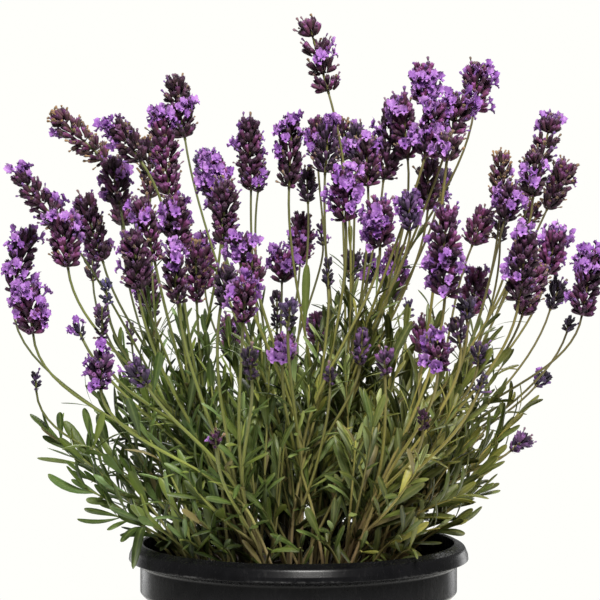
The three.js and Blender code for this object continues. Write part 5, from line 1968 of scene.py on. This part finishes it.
def leaf_look():
    sheen = {"Sheen_Weight": 0.02, "Sheen_Roughness": 0.45}
    glow = {"Subsurface_Weight": 0.15, "Subsurface_Scale": 0.001, "Subsurface_Radius": (0.6, 1.0, 0.2)}
    look = Look("leaf", Specular_IOR_Level=0.36, **sheen, **glow)
    tint = look.mesh_value("tint")
    colour = look.ramp(tint, LEAF_GREENS)
    hue = look.math("FRACT", look.math("MULTIPLY", tint, HUE_TURNS))
    colour = look.mix(hue, look.tinted(colour, BLUISH), look.tinted(colour, YELLOWISH))
    mottle = look.noise(3.0, 4)
    colour = look.laid_over(colour, mottle, 0.35, 0.7, 0.35, (0.09, 0.115, 0.028))
    midrib = look.spread(look.mesh_value("fade"), 0.0, 0.3, 0.5, 0.0)
    colour = look.mix(midrib, colour, (0.14, 0.16, 0.05))
    colour = look.laid_over(colour, look.mesh_value("along"), 0.9, 1.0, 0.3, (0.16, 0.16, 0.05))
    # The leaves' left side is darkened as painted shade, with a cool tint.
    colour = look.cool_shade_left_warm_right(colour)
    colour = look.mix(look.spread(tint, -0.4, -0.6), colour, (0.13, 0.11, 0.04))
    # The leaves are darkened at the heart of the bush as painted shade.
    colour = look.painted_shade_at_the_heart(colour, 0.045, 0.09)
    down = look.math("MULTIPLY", look.noise(0.35, 2), 0.3)
    height = look.math("ADD", look.math("MULTIPLY", mottle, 0.7), down)
    return look.finish(colour, look.spread(mottle, 0.2, 0.8, 0.36, 0.6), height, 0.3)


def soil_look(name, dark, light):
    look = Look(name, Specular_IOR_Level=0.2)
    grain = look.noise(1.6, 5, 0.65)
    colour = look.ramp(grain, [(0.3, *dark), (0.7, *light)])
    colour = look.mix(look.math("MULTIPLY", look.mesh_value("tint"), 0.5), colour, light)
    return look.finish(colour, look.spread(grain, 0.2, 0.8, 0.8, 0.95), grain, 0.9)


def pot_look():
    look = Look("black_plastic", Specular_IOR_Level=0.12)
    haze = look.noise(22.0, 4, 0.6)
    scuffs = look.noise(2.4, 4, 0.7, (1, 1, 0.3))
    colour = look.ramp(haze, POT_BLACKS)
    colour = look.laid_over(colour, scuffs, 0.62, 0.8, 0.35, (0.03, 0.029, 0.028))
    # A broken light line along the lip's lower edge: a painted highlight.
    from_edge = look.math("ABSOLUTE", look.math("SUBTRACT", look.mesh_value("along"), LIP_EDGE))
    near_edge = look.spread(from_edge, 0.001, 0.004, 1, 0)
    broken = look.spread(look.noise(3.0, 4, 0.7), 0.42, 0.6)
    in_places = look.spread(look.noise(45.0, 2), 0.42, 0.62, 0.0, 0.4)
    edge_highlight = look.math("MULTIPLY", look.math("MULTIPLY", near_edge, broken), in_places)
    colour = look.mix(edge_highlight, colour, (0.12, 0.12, 0.12))
    by_haze = look.spread(haze, 0.2, 0.8, 0.2, 0.3)
    by_scuffs = look.spread(scuffs, 0.5, 0.8, 0, 0.12)
    return look.finish(colour, look.math("ADD", by_haze, by_scuffs), look.noise(0.5, 3), 0.02)


def floor_look():
    look = Look("pale_floor", Specular_IOR_Level=0.1)
    grain = look.noise(40.0, 3)
    colour = look.ramp(grain, FLOOR_WHITES)
    return look.finish(colour, look.spread(grain, 0, 1, 0.85, 0.95), look.noise(2.0, 2), 0.02)


def build_flower_heads(shoots, materials):
    """The heads that are nodes of their own, in the order of their readings."""
    heads = [head for shoot in shoots for head in shoot.heads if head.own_node]
    heads.sort(key=lambda head: head.index)
    for number, head in enumerate(heads, start=1):
        surface = Surface()
        add_head(surface, head)
        surface.make(f"head_{number:02d}", materials, f"flower_head_{number:02d}", "blossom")


def build_leafy_stem(shoot, stems, leaves, materials, leaf):
    """The stems, the leaves and the small heads of one shoot, as three pieces."""
    label = f"{shoot.index + 1:02d}"
    node = f"leafy_stem_{label}"
    stems.make(f"stems_{label}", materials[:1], node, "foliage")
    leaves.make(f"leaves_{label}", [leaf], node, "foliage")
    small_heads = [head for head in shoot.heads if not head.own_node]
    if small_heads:
        surface = Surface()
        for head in small_heads:
            add_head(surface, head)
        surface.make(f"small_heads_{label}", materials, node, "blossom")


def build_plant():
    """The heads, the stems and the leaves. Every stem is known before the first leaf is added."""
    materials = [stem_look(), calyx_look(), floret_look(), spent_look()]
    leaf = leaf_look()
    shoots = lay_out_bush()
    build_flower_heads(shoots, materials)
    surfaces = [(Surface(), Surface()) for _ in shoots]
    for shoot, (stems, leaves) in zip(shoots, surfaces):
        spread_stalks(shoot)
        add_stems(stems, shoot)
        add_stem_leaves(leaves, shoot)
        add_tufts(leaves, shoot)
        add_low_branches(stems, leaves, shoot)
    add_skirt(shoots, surfaces)
    add_waiting_leaves(shoots, surfaces)
    add_read_leaves(surfaces)
    for shoot, (stems, leaves) in zip(shoots, surfaces):
        build_leafy_stem(shoot, stems, leaves, materials, leaf)


def build_pot_and_soil():
    pot = Surface()
    add_lathe(pot, fillet(POT_PROFILE), POT_SIDES)
    pot.make("black_pot", [pot_look()], "pot", "pot")
    soil = Surface()
    add_soil(soil)
    peat = soil_look("peat", (0.012, 0.008, 0.006), (0.05, 0.033, 0.022))
    bark = soil_look("bark_chip", (0.03, 0.017, 0.01), (0.11, 0.065, 0.038))
    soil.make("potting_soil", [peat, bark], "soil", "soil")


def build_floor():
    mesh = bpy.data.meshes.new("floor")
    rim = flat_ring(FLOOR_RADIUS, 0.0, corner_angles(FLOOR_SIDES))
    mesh.from_pydata(rim, [], [tuple(range(FLOOR_SIDES))])
    mesh.materials.append(floor_look())
    floor = bpy.data.objects.new("floor", mesh)
    bpy.context.scene.collection.objects.link(floor)


def add_area_light(name, place, aim, size, energy, colour):
    light = bpy.data.lights.new(name, "AREA")
    light.shape = "RECTANGLE"
    light.size, light.size_y = size
    light.energy = energy
    light.color = colour
    lamp = bpy.data.objects.new(name, light)
    bpy.context.scene.collection.objects.link(lamp)
    lamp.location = place
    towards = Vector(aim) - Vector(place)
    lamp.rotation_euler = towards.to_track_quat("-Z", "Y").to_euler()


def set_up_room(scene):
    """A pale room that lights the part softly, and the paper that the camera sees behind it."""
    world = bpy.data.worlds.new("studio")
    world.use_nodes = True
    nodes = world.node_tree.nodes
    links = world.node_tree.links
    room = nodes["Background"]
    room.inputs["Color"].default_value = ROOM_COLOUR
    room.inputs["Strength"].default_value = ROOM_LIGHT
    paper = nodes.new("ShaderNodeBackground")
    paper.inputs["Color"].default_value = PAPER_COLOUR
    seen = nodes.new("ShaderNodeLightPath")
    blend = nodes.new("ShaderNodeMixShader")
    links.new(seen.outputs["Is Camera Ray"], blend.inputs["Fac"])
    links.new(room.outputs["Background"], blend.inputs[1])
    links.new(paper.outputs["Background"], blend.inputs[2])
    links.new(blend.outputs["Shader"], nodes["World Output"].inputs["Surface"])
    scene.world = world


def set_up_camera(scene):
    """The camera of the photograph."""
    camera = bpy.data.cameras.new("camera")
    camera.sensor_width = SENSOR_WIDTH
    camera.lens = SENSOR_WIDTH * PHOTO_FOCAL / (2 * PHOTO_MIDDLE)
    camera.clip_end = 100.0
    view = bpy.data.objects.new("camera", camera)
    view.location = (CAMERA_X * MM, -CAMERA_DISTANCE * MM, CAMERA_HEIGHT * MM)
    view.rotation_euler = (math.radians(90) - CAMERA_PITCH, 0, 0)
    scene.collection.objects.link(view)
    scene.camera = view


def set_up_studio():
    scene = bpy.context.scene
    scene.view_settings.view_transform = "Standard"
    set_up_room(scene)
    for name, values in LIGHTS.items():
        add_area_light(name, *values)
    set_up_camera(scene)


build_plant()
build_pot_and_soil()
build_floor()
set_up_studio()
